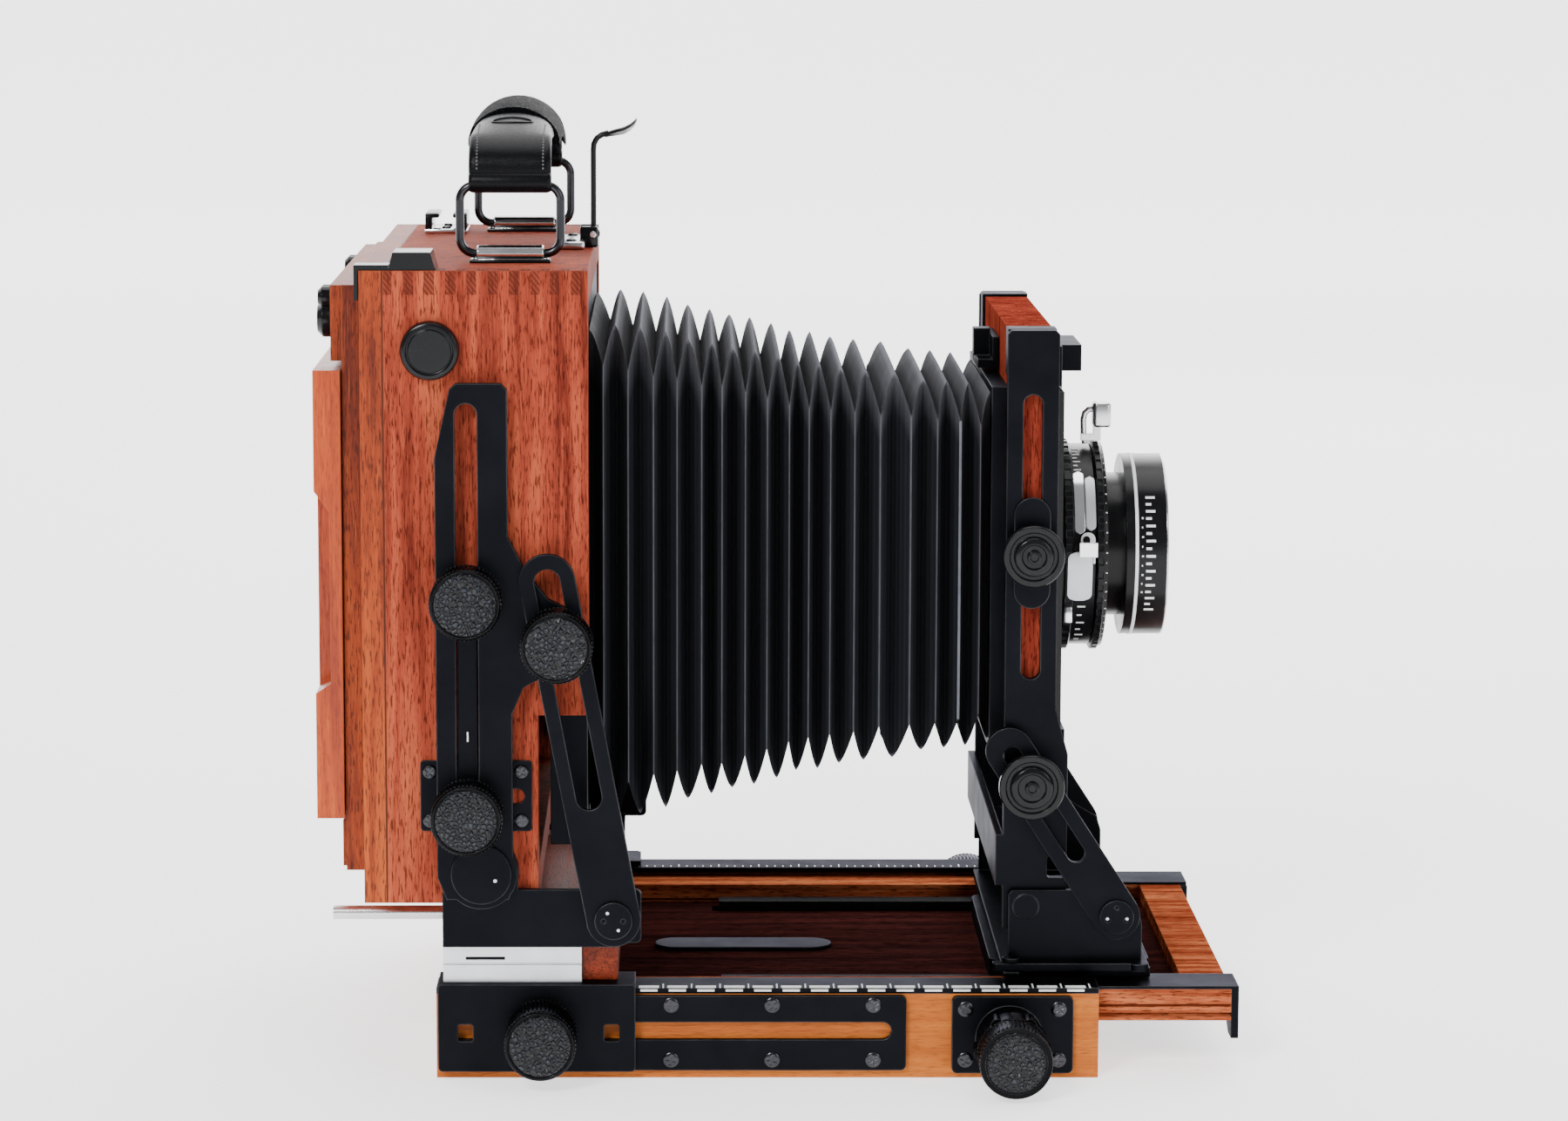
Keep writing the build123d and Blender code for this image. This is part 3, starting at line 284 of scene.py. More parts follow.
    def bump(self, height: Socket, depth: float, strength: float, normal: Optional[Socket] = None) -> None:
        """Relief on the shader's normal.

        Args:
            height: the relief, 0 to 1.
            depth: its depth in metres.
            strength: share of the relief.
            normal: normal to start from.
        """
        node = self.nodes.new("ShaderNodeBump")
        node.inputs["Strength"].default_value = strength
        node.inputs["Distance"].default_value = depth
        self.links.new(height, node.inputs["Height"])
        if normal is not None:
            self.links.new(normal, node.inputs["Normal"])
        self.links.new(node.outputs["Normal"], self.shader.inputs["Normal"])

    def set(self, **values) -> bpy.types.Material:
        """Feeds the shader's sockets by name, with _ for a space.

        Args:
            **values: socket names and values.

        Returns:
            The material.
        """
        for key, value in values.items():
            self.feed(value, self.shader.inputs[key.replace("_", " ")])
        return self.material


# ---- Finishes ---------------------------------------------------------------------------------------------

END_GRAIN = (0.070, 0.016, 0.010)
FINGER_PITCH, HATCH_PITCH = 5.5 * MM, 1.3 * MM
BOX_TOP, BOX_SIDE = 216.4 * MM, 82.9 * MM
"""Height and half width just inside the rear box's top and side faces."""
FINGER_FOOT, FINGER_ROOT = 210.2 * MM, 76.5 * MM
"""Where the corner fingers end: down the sides, and inwards over the top."""
GLUE_LINES = ((17.6, 0.85), (15.4, 0.35), (20.6, 0.3))
"""The laminated rails' glue lines: height in millimetres and strength."""
GLUE_LINE_HALF = 0.35 * MM
# Light metal on rounded edges: partly rubbing, partly a painted highlight along the edges.
RUBBED_AND_GLINT_METAL = (0.32, 0.32, 0.34)
CORD_PITCH = 1.05 * MM
CLOTH_BLACK = (0.0085, 0.0095, 0.0125)
# Grey of the painted light on the bellows' top panels, also mixed in for the fine cords.
CLOTH_GREY = (0.105, 0.105, 0.118)
CLOTH_WORN = (0.13, 0.135, 0.16)


@dataclass(frozen=True)
class Wood:
    """Oiled hardwood with straight grain and short dark pores."""

    name: str
    dark: Colour
    middle: Colour
    light: Colour
    grain: Axis = Axis.Z
    rough: float = 0.42
    coat: float = 0.0
    fingers: bool = False
    laminated: bool = False
    shine: float = 0.22
    pore: float = 0.75
    # Where the painted shade of the gap to the next part starts along X, in millimetres.
    gap_shade_x: Optional[float] = None

    def material(self) -> bpy.types.Material:
        """Builds the material."""
        bench = Bench(self.name)
        figure = self.strands(bench, 14.0, 260.0, 6.0, 0.62, 0.5)
        broad = self.strands(bench, 3.0, 26.0, 3.0, 0.5, 0.4)
        fleck = self.strands(bench, 90.0, 2300.0, 2.0, 0.5, 0.2)
        blend = bench.sum("ADD", bench.sum("MULTIPLY", figure, 0.7), bench.sum("MULTIPLY", broad, 0.3))
        colour = bench.ramp(blend, [(0.36, self.dark), (0.5, self.middle), (0.66, self.light)])
        colour = bench.mix(bench.span(fleck, 0.56, 0.72, 0.0, 0.45), colour, self.light)
        pore_mask = bench.span(self.strands(bench, 240.0, 2000.0, 3.0, 0.6, 0.3), 0.52, 0.62)
        deep = tuple(part * 0.28 for part in self.dark)
        colour = bench.mix(bench.sum("MULTIPLY", pore_mask, self.pore), colour, deep)
        if self.fingers:
            colour = bench.mix(bench.sum("MULTIPLY", self.finger_mask(bench), 0.85), colour, END_GRAIN)
        # Painted shade: a dark strip for the shaded gap between the back frame and the body.
        if self.gap_shade_x is not None:
            joint = bench.sum("GREATER_THAN", bench.axis_value("X"), self.gap_shade_x * MM)
            colour = bench.mix(bench.sum("MULTIPLY", joint, 0.9), colour, deep)
        if self.laminated:
            height = bench.axis_value("Z")
            for level, depth in GLUE_LINES:
                near = bench.sum("ABSOLUTE", bench.sum("SUBTRACT", height, level * MM))
                groove = bench.sum("MULTIPLY", bench.sum("LESS_THAN", near, GLUE_LINE_HALF), depth)
                colour = bench.mix(groove, colour, deep)
        normal, edge = bench.soft_edges(0.6 * MM)
        # Lighter edges: partly rubbing, partly a painted highlight along the edges.
        worn_and_lit_edge = bench.span(edge, 0.02, 0.22, 0.0, 0.35)
        colour = bench.mix(worn_and_lit_edge, colour, tuple(min(1.0, part * 1.3 + 0.01) for part in self.light))
        bench.bump(bench.sum("SUBTRACT", figure, pore_mask), 0.10 * MM, 0.35, normal)
        gloss = bench.span(figure, 0.3, 0.7, self.rough - 0.06, self.rough + 0.08)
        return bench.set(
            Base_Color=colour, Roughness=gloss, Coat_Weight=self.coat, Coat_Roughness=0.2,
            Specular_IOR_Level=self.shine,
        )

    def strands(
        self, bench: Bench, along: float, across: float, detail: float, rough: float, distort: float
    ) -> Socket:
        """A noise drawn out along the grain.

        Args:
            bench: the material being built.
            along: pattern units a metre along the grain.
            across: pattern units a metre across it.
            detail: octaves.
            rough: how strong the finer octaves are.
            distort: how far it is warped.

        Returns:
            The noise.
        """
        scale = tuple(along if part else across for part in self.grain.value)
        return bench.noise(bench.stretch(scale), 1.0, detail, rough, distort)

    def finger_mask(self, bench: Bench) -> Socket:
        """End grain of the interlocked corner fingers, 1 on dark ends.

        Args:
            bench: the material being built.

        Returns:
            The mask.
        """
        x = bench.axis_value("X")
        y = bench.sum("ABSOLUTE", bench.axis_value("Y"))
        z = bench.axis_value("Z")
        wobble = bench.sum("MULTIPLY", bench.noise(bench.stretch((150.0, 1.0, 40.0)), 1.0, 1.0), 0.22)
        count = bench.sum("DIVIDE", bench.sum("ADD", x, 1.0), FINGER_PITCH)
        pitch = bench.sum("FRACT", bench.sum("ADD", count, wobble))
        odd = bench.sum("GREATER_THAN", pitch, 0.52)
        slant = bench.sum("ADD", x, bench.sum("MULTIPLY", z, 0.8))
        hatch = bench.sum("FRACT", bench.sum("DIVIDE", slant, HATCH_PITCH))
        stroke = bench.span(hatch, 0.2, 0.7, 0.45, 1.0)
        high = bench.sum("GREATER_THAN", z, FINGER_FOOT)
        side = bench.sum("GREATER_THAN", y, BOX_SIDE)
        on_side = bench.sum("MULTIPLY", bench.sum("MULTIPLY", high, side), odd)
        cap = bench.sum("GREATER_THAN", z, BOX_TOP)
        rim = bench.sum("GREATER_THAN", y, FINGER_ROOT)
        on_top = bench.sum("MULTIPLY", bench.sum("MULTIPLY", cap, rim), bench.sum("SUBTRACT", 1.0, odd))
        return bench.sum("MULTIPLY", bench.sum("MAXIMUM", on_side, on_top), stroke)


@dataclass(frozen=True)
class Metal:
    """Plated, anodised or bare metal with fine handling marks and rounded edges, lightened partly by rubbing
    and partly as a painted highlight.

    glance is how much it shines when seen along its face.
    """

    name: str
    colour: Colour
    metallic: float = 1.0
    rough: float = 0.35
    # Share of that edge lightening: partly rubbing, partly a painted highlight.
    edge_wear_and_glint: float = 0.0
    grit: float = 0.25
    edge: float = 0.35
    shine: float = 0.5
    glance: float = 1.0

    def material(self) -> bpy.types.Material:
        """Builds the material."""
        bench = Bench(self.name)
        fine = bench.noise(bench.object_coords, 2600.0, 2.0, 0.6)
        cloud = bench.noise(bench.object_coords, 60.0, 4.0, 0.6)
        normal, rim = bench.soft_edges(self.edge * MM)
        lighter = tuple(part * 1.3 + 0.001 for part in self.colour)
        colour = bench.mix(bench.span(cloud, 0.35, 0.7), self.colour, lighter)
        # Edges mixed towards light metal: partly rubbing, partly a painted highlight; on the knurled rims it
        # paints the glints.
        if self.edge_wear_and_glint:
            patches = bench.span(cloud, 0.35, 0.6, 0.35, 1.0)
            broken = bench.sum("MULTIPLY", bench.span(rim, 0.03, 0.2), patches)
            colour = bench.mix(bench.sum("MULTIPLY", broken, self.edge_wear_and_glint), colour, RUBBED_AND_GLINT_METAL)
        bench.bump(fine, 0.03 * MM, self.grit, normal)
        gloss = bench.span(cloud, 0.3, 0.75, self.rough - 0.05, self.rough + 0.08)
        return bench.set(
            Base_Color=colour, Metallic=self.metallic, Roughness=gloss, Specular_IOR_Level=self.shine,
            Specular_Tint=(self.glance, self.glance, min(1.0, self.glance * 1.1)),
        )


@dataclass(frozen=True)
class Hide:
    """Grained leather: small cells with rounded tops and dark creases, the tops mixed lighter as a painted
    highlight.
    """

    name: str
    colour: Colour
    # Lighter colour on the cell tops: a painted highlight.
    top: Colour
    cell: float
    depth: float
    rough: float
    shine: float

    def material(self) -> bpy.types.Material:
        """Builds the material."""
        bench = Bench(self.name)
        warp = bench.noise(bench.object_coords, 900.0, 3.0, 0.6)
        height = bench.span(bench.cells(bench.object_coords, self.cell), 0.02, 0.28)
        # Painted highlight: the cell tops are mixed towards the lighter top colour.
        colour = bench.mix(bench.sum("MULTIPLY", height, bench.span(warp, 0.3, 0.7)), self.colour, self.top)
        bench.bump(bench.sum("ADD", height, bench.sum("MULTIPLY", warp, 0.35)), self.depth * MM, 0.9)
        gloss = bench.span(height, 0.0, 1.0, self.rough + 0.2, self.rough)
        return bench.set(Base_Color=colour, Roughness=gloss, Specular_IOR_Level=self.shine)


@dataclass(frozen=True)
class PleatCloth:
    """Thin black bellows cloth: fine weave, greyed by rubbing where a fold stands proud, and painted lighter
    on the top panels as light from above.
    """

    name: str = "pleated_cloth"

    def material(self) -> bpy.types.Material:
        """Builds the material."""
        bench = Bench(self.name)
        ridge = bench.attribute("fold_edge")
        shade = bench.attribute("painted_top_light")
        weave = bench.noise(bench.object_coords, 3200.0, 2.0, 0.7)
        dust = bench.noise(bench.object_coords, 90.0, 5.0, 0.65)
        along = bench.sum("ADD", bench.axis_value("X"), 1.0)
        cord = bench.sum("FRACT", bench.sum("DIVIDE", along, CORD_PITCH))
        groove = bench.sum("ABSOLUTE", bench.sum("SUBTRACT", cord, 0.5))
        cords = bench.sum("MULTIPLY", bench.span(groove, 0.1, 0.4), 0.08)
        # Painted light: shade greys the top panels as if lit from above.
        tone = bench.sum("ADD", bench.sum("MULTIPLY", shade, bench.span(dust, 0.3, 0.7, 0.6, 1.0)), cords)
        colour = bench.mix(tone, CLOTH_BLACK, CLOTH_GREY)
        rubbed = bench.sum("MULTIPLY", bench.span(ridge, 0.88, 0.97), bench.span(dust, 0.25, 0.6, 0.55, 1.0))
        colour = bench.mix(rubbed, colour, CLOTH_WORN)
        bench.bump(bench.sum("ADD", weave, dust), 0.06 * MM, 0.4)
        return bench.set(Base_Color=colour, Roughness=0.8, Specular_IOR_Level=0.08)


@dataclass(frozen=True)
class Glass:
    """Optical or ground glass."""

    name: str
    colour: Colour
    rough: float
    through: float

    def material(self) -> bpy.types.Material:
        """Builds the material."""
        bench = Bench(self.name)
        cloud = bench.noise(bench.object_coords, 1400.0, 2.0, 0.6)
        gloss = bench.span(cloud, 0.3, 0.7, self.rough, self.rough + 0.03)
        tint = bench.mix(bench.span(cloud, 0.3, 0.7), self.colour, tuple(part * 0.92 for part in self.colour))
        return bench.set(Base_Color=tint, Roughness=gloss, Transmission_Weight=self.through, Coat_Weight=0.6)


FINISHES = {
    finish.name: finish
    for finish in (
        Wood(
            "body_wood", (0.110, 0.016, 0.010), (0.29, 0.048, 0.025), (0.47, 0.100, 0.045), rough=0.55,
            shine=0.02, fingers=True,
        ),
        Wood(
            "frame_wood", (0.100, 0.013, 0.009), (0.22, 0.030, 0.018), (0.35, 0.060, 0.030), rough=0.62,
            shine=0.0,
        ),
        # The back frame's dark strip at its inner end is painted shade of the gap to the body.
        Wood(
            "back_wood", (0.11, 0.013, 0.003), (0.28, 0.038, 0.006), (0.46, 0.085, 0.014), shine=0.2,
            gap_shade_x=-101.5,
        ),
        Wood(
            "screen_wood", (0.22, 0.018, 0.003), (0.40, 0.050, 0.005), (0.58, 0.11, 0.012), rough=0.3,
            coat=0.12, pore=0.4,
        ),
        Wood(
            "base_wood", (0.33, 0.070, 0.010), (0.48, 0.125, 0.018), (0.58, 0.18, 0.030), Axis.X, shine=0.12,
            pore=0.3,
        ),
        Wood(
            "rail_wood", (0.11, 0.016, 0.008), (0.30, 0.058, 0.022), (0.60, 0.190, 0.075), Axis.X, 0.6,
            shine=0.0, laminated=True,
        ),
        Wood(
            "bed_wood", (0.016, 0.006, 0.006), (0.036, 0.011, 0.010), (0.075, 0.018, 0.015), Axis.X, 0.66,
            shine=0.0,
        ),
        Wood("carriage_wood", (0.10, 0.012, 0.003), (0.22, 0.026, 0.006), (0.32, 0.05, 0.010), Axis.Y),
        # The fifth argument of each metal lightens its edges: partly rubbing, partly a painted highlight.
        Metal("black_metal", (0.0055, 0.0060, 0.0078), 0.85, 0.40, 0.28, edge=0.6, shine=0.15, glance=0.4),
        Metal("black_gloss", (0.0040, 0.0042, 0.0050), 0.0, 0.15, 0.02, grit=0.05, shine=0.2),
        Metal("knurl", (0.0048, 0.0048, 0.0052), 0.8, 0.26, 0.5, edge=0.12, shine=0.2, glance=0.5),
        Metal("bright_steel", (0.58, 0.58, 0.60), 1.0, 0.24, grit=0.15),
        Metal("dark_steel", (0.040, 0.040, 0.045), 1.0, 0.24, 0.7, edge=0.2),
        Metal("rack_steel", (0.020, 0.020, 0.022), 0.9, 0.34, 0.3, shine=0.2, glance=0.25),
        Metal("chrome", (0.72, 0.72, 0.74), 1.0, 0.10, grit=0.05),
        Metal("silver_block", (0.66, 0.67, 0.70), 0.8, 0.38, grit=0.35),
        Metal("brass", (0.48, 0.31, 0.10), 1.0, 0.32),
        Metal("lens_black", (0.0050, 0.0050, 0.0060), 0.2, 0.26, 0.12, edge=0.25, shine=0.22),
        Metal("white_paint", (0.80, 0.80, 0.80), 0.0, 0.45, grit=0.1, edge=0.05),
        Metal("label_silver", (0.62, 0.64, 0.68), 0.3, 0.34, grit=0.1, edge=0.1),
        Metal("thread", (0.10, 0.10, 0.11), 0.0, 0.7, grit=0.6, edge=0.05, shine=0.2),
        # Each leather's second colour is a painted highlight on its cell tops.
        Hide("knob_leather", (0.0012, 0.0013, 0.0020), (0.017, 0.022, 0.037), 850.0, 0.78, 0.18, 0.42),
        Hide("strap_leather", (0.0020, 0.0021, 0.0030), (0.0030, 0.0030, 0.0050), 2200.0, 0.02, 0.20, 0.10),
        Hide("pad_leather", (0.0018, 0.0018, 0.0024), (0.006, 0.006, 0.008), 900.0, 0.34, 0.55, 0.05),
        PleatCloth(),
        Glass("lens_glass", (0.55, 0.62, 0.80), 0.01, 0.85),
        Glass("ground_glass", (0.80, 0.82, 0.84), 0.45, 0.55),
    )
}


class Paintshop:
    """Makes each finish once and hands it out."""

    made: dict[str, bpy.types.Material] = {}

    @classmethod
    def mix(cls, name: str) -> bpy.types.Material:
        """The named finish's material.

        Args:
            name: a key of FINISHES.

        Returns:
            The material.
        """
        if name not in cls.made:
            cls.made[name] = FINISHES[name].material()
        return cls.made[name]


CAD_FINISH = {
    "body_wood": ("rear_box",),
    "frame_wood": ("lens_frame",),
    "back_wood": ("back_frame", "reversible_back"),
    "screen_wood": ("screen_frame",),
    "base_wood": ("base_frame",),
    "rail_wood": ("bed_rails",),
    "bed_wood": ("bed_panel",),
    "carriage_wood": ("carriage_board",),
    "silver_block": ("carriage_blocks",),
    "rack_steel": ("focus_racks",),
    "brass": ("tripod_socket",),
    "bright_steel": ("rear_lock_lever", "cocking_lever"),
    "dark_steel": ("handle_ring_right", "handle_ring_left", "base_screws", "body_screws"),
    "chrome": ("release_lever",),
    "lens_black": ("lens_cells", "shutter_body", "speed_ring", "aperture_ring"),
    "lens_glass": ("lens_glasses",),
    "ground_glass": ("focusing_screen",),
    "knurl": ("focus_lock", "pinion_shaft"),
    "black_gloss": ("leaf_blades", "lens_board", "back_clip"),
}
"""CAD nodes under each finish other than black metal."""


# ---- Bench tools ------------------------------------------------------------------------------------------

SEAM_GAP = 0.01 * MM
"""Points nearer than this are one point once a piece is turned."""


def deselect() -> None:
    """Leaves edit mode and deselects everything."""
    if bpy.context.object and bpy.context.object.mode != "OBJECT":
        bpy.ops.object.mode_set(mode="OBJECT")
    bpy.ops.object.select_all(action="DESELECT")


def take(piece: Piece) -> None:
    """Selects one piece alone and makes it active.

    Args:
        piece: the piece.
    """
    deselect()
    piece.select_set(True)
    bpy.context.view_layer.objects.active = piece


def face_outwards(piece: Piece) -> None:
    """Turns a mesh's faces outwards.

    Args:
        piece: the piece.
    """
    take(piece)
    bpy.ops.object.mode_set(mode="EDIT")
    bpy.ops.mesh.select_all(action="SELECT")
    bpy.ops.mesh.normals_make_consistent(inside=False)
    bpy.ops.object.mode_set(mode="OBJECT")


def skinned(name: str, points: Sequence[Point], count: int, closed: bool = True) -> Piece:
    """A skin over rings of points.

    Args:
        name: a working name.
        points: the rings' points one ring after another, in metres.
        count: points in a ring.
        closed: True to close both ends.

    Returns:
        The piece.
    """
    faces: list[tuple[int, ...]] = []
    last = len(points) - count
    for here in range(0, last, count):
        there = here + count
        for step in range(count):
            after = (step + 1) % count
            faces.append((here + step, here + after, there + after, there + step))
    if closed:
        faces += [tuple(range(count)), tuple(range(last, last + count))]
    mesh = bpy.data.meshes.new(name)
    mesh.from_pydata(points, [], faces)
    piece = bpy.data.objects.new(name, mesh)
    bpy.context.scene.collection.objects.link(piece)
    face_outwards(piece)
    return piece


def settle(piece: Piece, matrix: Optional[Matrix] = None) -> Piece:
    """Bakes a piece's place into its mesh.

    Args:
        piece: the piece.
        matrix: a further placing.

    Returns:
        The piece, with its object at the origin.
    """
    bpy.context.view_layer.update()
    piece.data.transform((matrix or Matrix.Identity(4)) @ piece.matrix_world)
    piece.matrix_world = Matrix.Identity(4)
    return piece


def face_axis(axis: Axis) -> Matrix:
    """The turn that takes local Z on to an axis.

    Args:
        axis: where Z goes.

    Returns:
        The rotation.
    """
    return Vector((0, 0, 1)).rotation_difference(axis.value).to_matrix().to_4x4()


def turned(profile: Sequence[Size], centre: Point, axis: Axis, steps: int = 64) -> Piece:
    """Spins a profile into a solid of revolution.

    Args:
        profile: (radius, distance along) in millimetres, from middle line to middle line or closed on itself.
        centre: where distance 0 lies, in millimetres.
        axis: the way the distance runs.
        steps: faces round the turn.

    Returns:
        The piece.
    """
    mesh = bpy.data.meshes.new("turned")
    points = [(radius * MM, 0.0, along * MM) for radius, along in profile]
    mesh.from_pydata(points, [(i, i + 1) for i in range(len(points) - 1)], [])
    piece = bpy.data.objects.new("turned", mesh)
    bpy.context.scene.collection.objects.link(piece)
    take(piece)
    bpy.ops.object.mode_set(mode="EDIT")
    bpy.ops.mesh.select_all(action="SELECT")
    bpy.ops.mesh.spin(steps=steps, angle=2 * math.pi, center=(0, 0, 0), axis=(0, 0, 1))
    bpy.ops.mesh.select_all(action="SELECT")
    bpy.ops.mesh.remove_doubles(threshold=SEAM_GAP)
    bpy.ops.mesh.normals_make_consistent(inside=False)
    bpy.ops.object.mode_set(mode="OBJECT")
    place = Matrix.Translation(Vector(centre) * MM) @ face_axis(axis)
    return settle(piece, place)


def slab(low: Point, high: Point, bevel: float = 0.0, segments: int = 2) -> Piece:
    """A block between two corners with rounded edges.

    Args:
        low: lowest corner, millimetres.
        high: highest corner, millimetres.
        bevel: the rounding, millimetres.
        segments: faces across the rounding.

    Returns:
        The piece.
    """
    deselect()
    middle = [(a + b) / 2 * MM for a, b in zip(low, high)]
    bpy.ops.mesh.primitive_cube_add(size=1.0, location=middle)
    piece = bpy.context.object
    piece.scale = [(b - a) * MM for a, b in zip(low, high)]
    bpy.ops.object.transform_apply(location=True, rotation=True, scale=True)
    if bevel:
        bpy.ops.object.mode_set(mode="EDIT")
        bpy.ops.mesh.select_all(action="SELECT")
        bpy.ops.mesh.bevel(offset=bevel * MM, segments=segments, affect="EDGES")
        bpy.ops.object.mode_set(mode="OBJECT")
    return piece


def tube(points: Sequence[Point], radius: float, sides: int = 10) -> Piece:
    """A round wire through points, as a mesh.

    Args:
        points: the route in millimetres.
        radius: the wire's radius in millimetres.
        sides: faces round the wire, made even.

    Returns:
        The piece.
    """
    curve = bpy.data.curves.new("wire", "CURVE")
    curve.dimensions = "3D"
    curve.bevel_depth = radius * MM
    curve.bevel_resolution = max(1, sides // 4)
    curve.use_fill_caps = True
    spline = curve.splines.new("POLY")
    spline.points.add(len(points) - 1)
    for target, point in zip(spline.points, points):
        target.co = (*(part * MM for part in point), 1.0)
    holder = bpy.data.objects.new("wire", curve)
    bpy.context.scene.collection.objects.link(holder)
    bpy.context.view_layer.update()
    mesh = bpy.data.meshes.new_from_object(holder.evaluated_get(bpy.context.evaluated_depsgraph_get()))
    bpy.data.objects.remove(holder)
    piece = bpy.data.objects.new("wire", mesh)
    bpy.context.scene.collection.objects.link(piece)
    return piece


def carve(piece: Piece, cutter: Piece) -> Piece:
    """Cuts one piece out of another.

    Args:
        piece: the piece that stays.
        cutter: the shape taken out, which goes.

    Returns:
        The piece.
    """
    take(piece)
    cut = piece.modifiers.new("cut", "BOOLEAN")
    cut.object = cutter
    cut.operation = "DIFFERENCE"
    cut.solver = "EXACT"
    bpy.ops.object.modifier_apply(modifier="cut")
    bpy.data.objects.remove(cutter)
    return piece


def paint(piece: Piece, finish: str) -> Piece:
    """Gives a piece one finish.

    Args:
        piece: the piece.
        finish: a key of FINISHES.

    Returns:
        The piece.
    """
    piece.data.materials.clear()
    piece.data.materials.append(Paintshop.mix(finish))
    return piece


def paint_faces(piece: Piece, finish: str, chosen: Callable[[bpy.types.MeshPolygon], bool]) -> None:
    """Adds a finish on the faces that a test picks.

    Args:
        piece: the piece.
        finish: a key of FINISHES.
        chosen: the test.
    """
    piece.data.materials.append(Paintshop.mix(finish))
    index = len(piece.data.materials) - 1
    for polygon in piece.data.polygons:
        if chosen(polygon):
            polygon.material_index = index


def copy_to(piece: Piece, place: Matrix) -> Piece:
    """A copy with its own mesh.

    Args:
        piece: what is copied.
        place: the copy's placing.

    Returns:
        The copy.
    """
    twin = piece.copy()
    twin.data = piece.data.copy()
    bpy.context.scene.collection.objects.link(twin)
    return settle(twin, place)


def join(pieces: Sequence[Piece]) -> Piece:
    """Joins pieces into the first.

    Args:
        pieces: what is joined.

    Returns:
        The joined piece.
    """
    deselect()
    for piece in pieces:
        piece.select_set(True)
    bpy.context.view_layer.objects.active = pieces[0]
    if len(pieces) > 1:
        bpy.ops.object.join()
    return pieces[0]


def other_side(piece: Piece) -> Piece:
    """The piece's mirror image on the +Y side.

    Args:
        piece: what is mirrored.

    Returns:
        The mirrored copy, facing outwards.
    """
    twin = copy_to(piece, Matrix.Scale(-1, 4, Vector((0, 1, 0))))
    take(twin)
    bpy.ops.object.mode_set(mode="EDIT")
    bpy.ops.mesh.select_all(action="SELECT")
    bpy.ops.mesh.flip_normals()
    bpy.ops.object.mode_set(mode="OBJECT")
    return twin


def complete(piece: Piece, name: str, nodes: Sequence[str], smooth: float) -> None:
    """Names a finished piece, shades it and hides the CAD nodes it stands for.

    Args:
        piece: the finished piece.
        name: its name.
        nodes: CAD nodes it stands for.
        smooth: widest angle in degrees that is shaded smooth.
    """
    piece.name = name
    piece.data.name = name
    take(piece)
    bpy.ops.object.shade_smooth_by_angle(angle=math.radians(smooth))
    if nodes:
        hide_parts(*nodes)


def mount(
    piece: Piece, name: str, body: str, nodes: Sequence[str] = (), smooth: float = 32.0
) -> None:
    """Names a finished piece and hangs it on its body.

    Args:
        piece: the finished piece.
        name: its name.
        body: the body it rides on.
        nodes: CAD nodes it stands for.
        smooth: widest angle in degrees that is shaded smooth.
    """
    complete(piece, name, nodes, smooth)
    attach(piece, body)
    LOG.info("%s: %d faces on %s", name, len(piece.data.polygons), body)


# ---- Carried-over frame -----------------------------------------------------------------------------------


class MachinedFrame:
    """The CAD nodes whose shape is final: each only gets its finish."""

    def dress(self) -> None:
        """Puts a finish on every CAD node."""
        finish_of = {name: finish for finish, names in CAD_FINISH.items() for name in names}
        for name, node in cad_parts.items():
            material = Paintshop.mix(finish_of.get(name, "black_metal"))
            node.data.materials.clear()
            node.data.materials.append(material)
            for polygon in node.data.polygons:
                polygon.material_index = 0


# ---- Clamping knobs ---------------------------------------------------------------------------------------


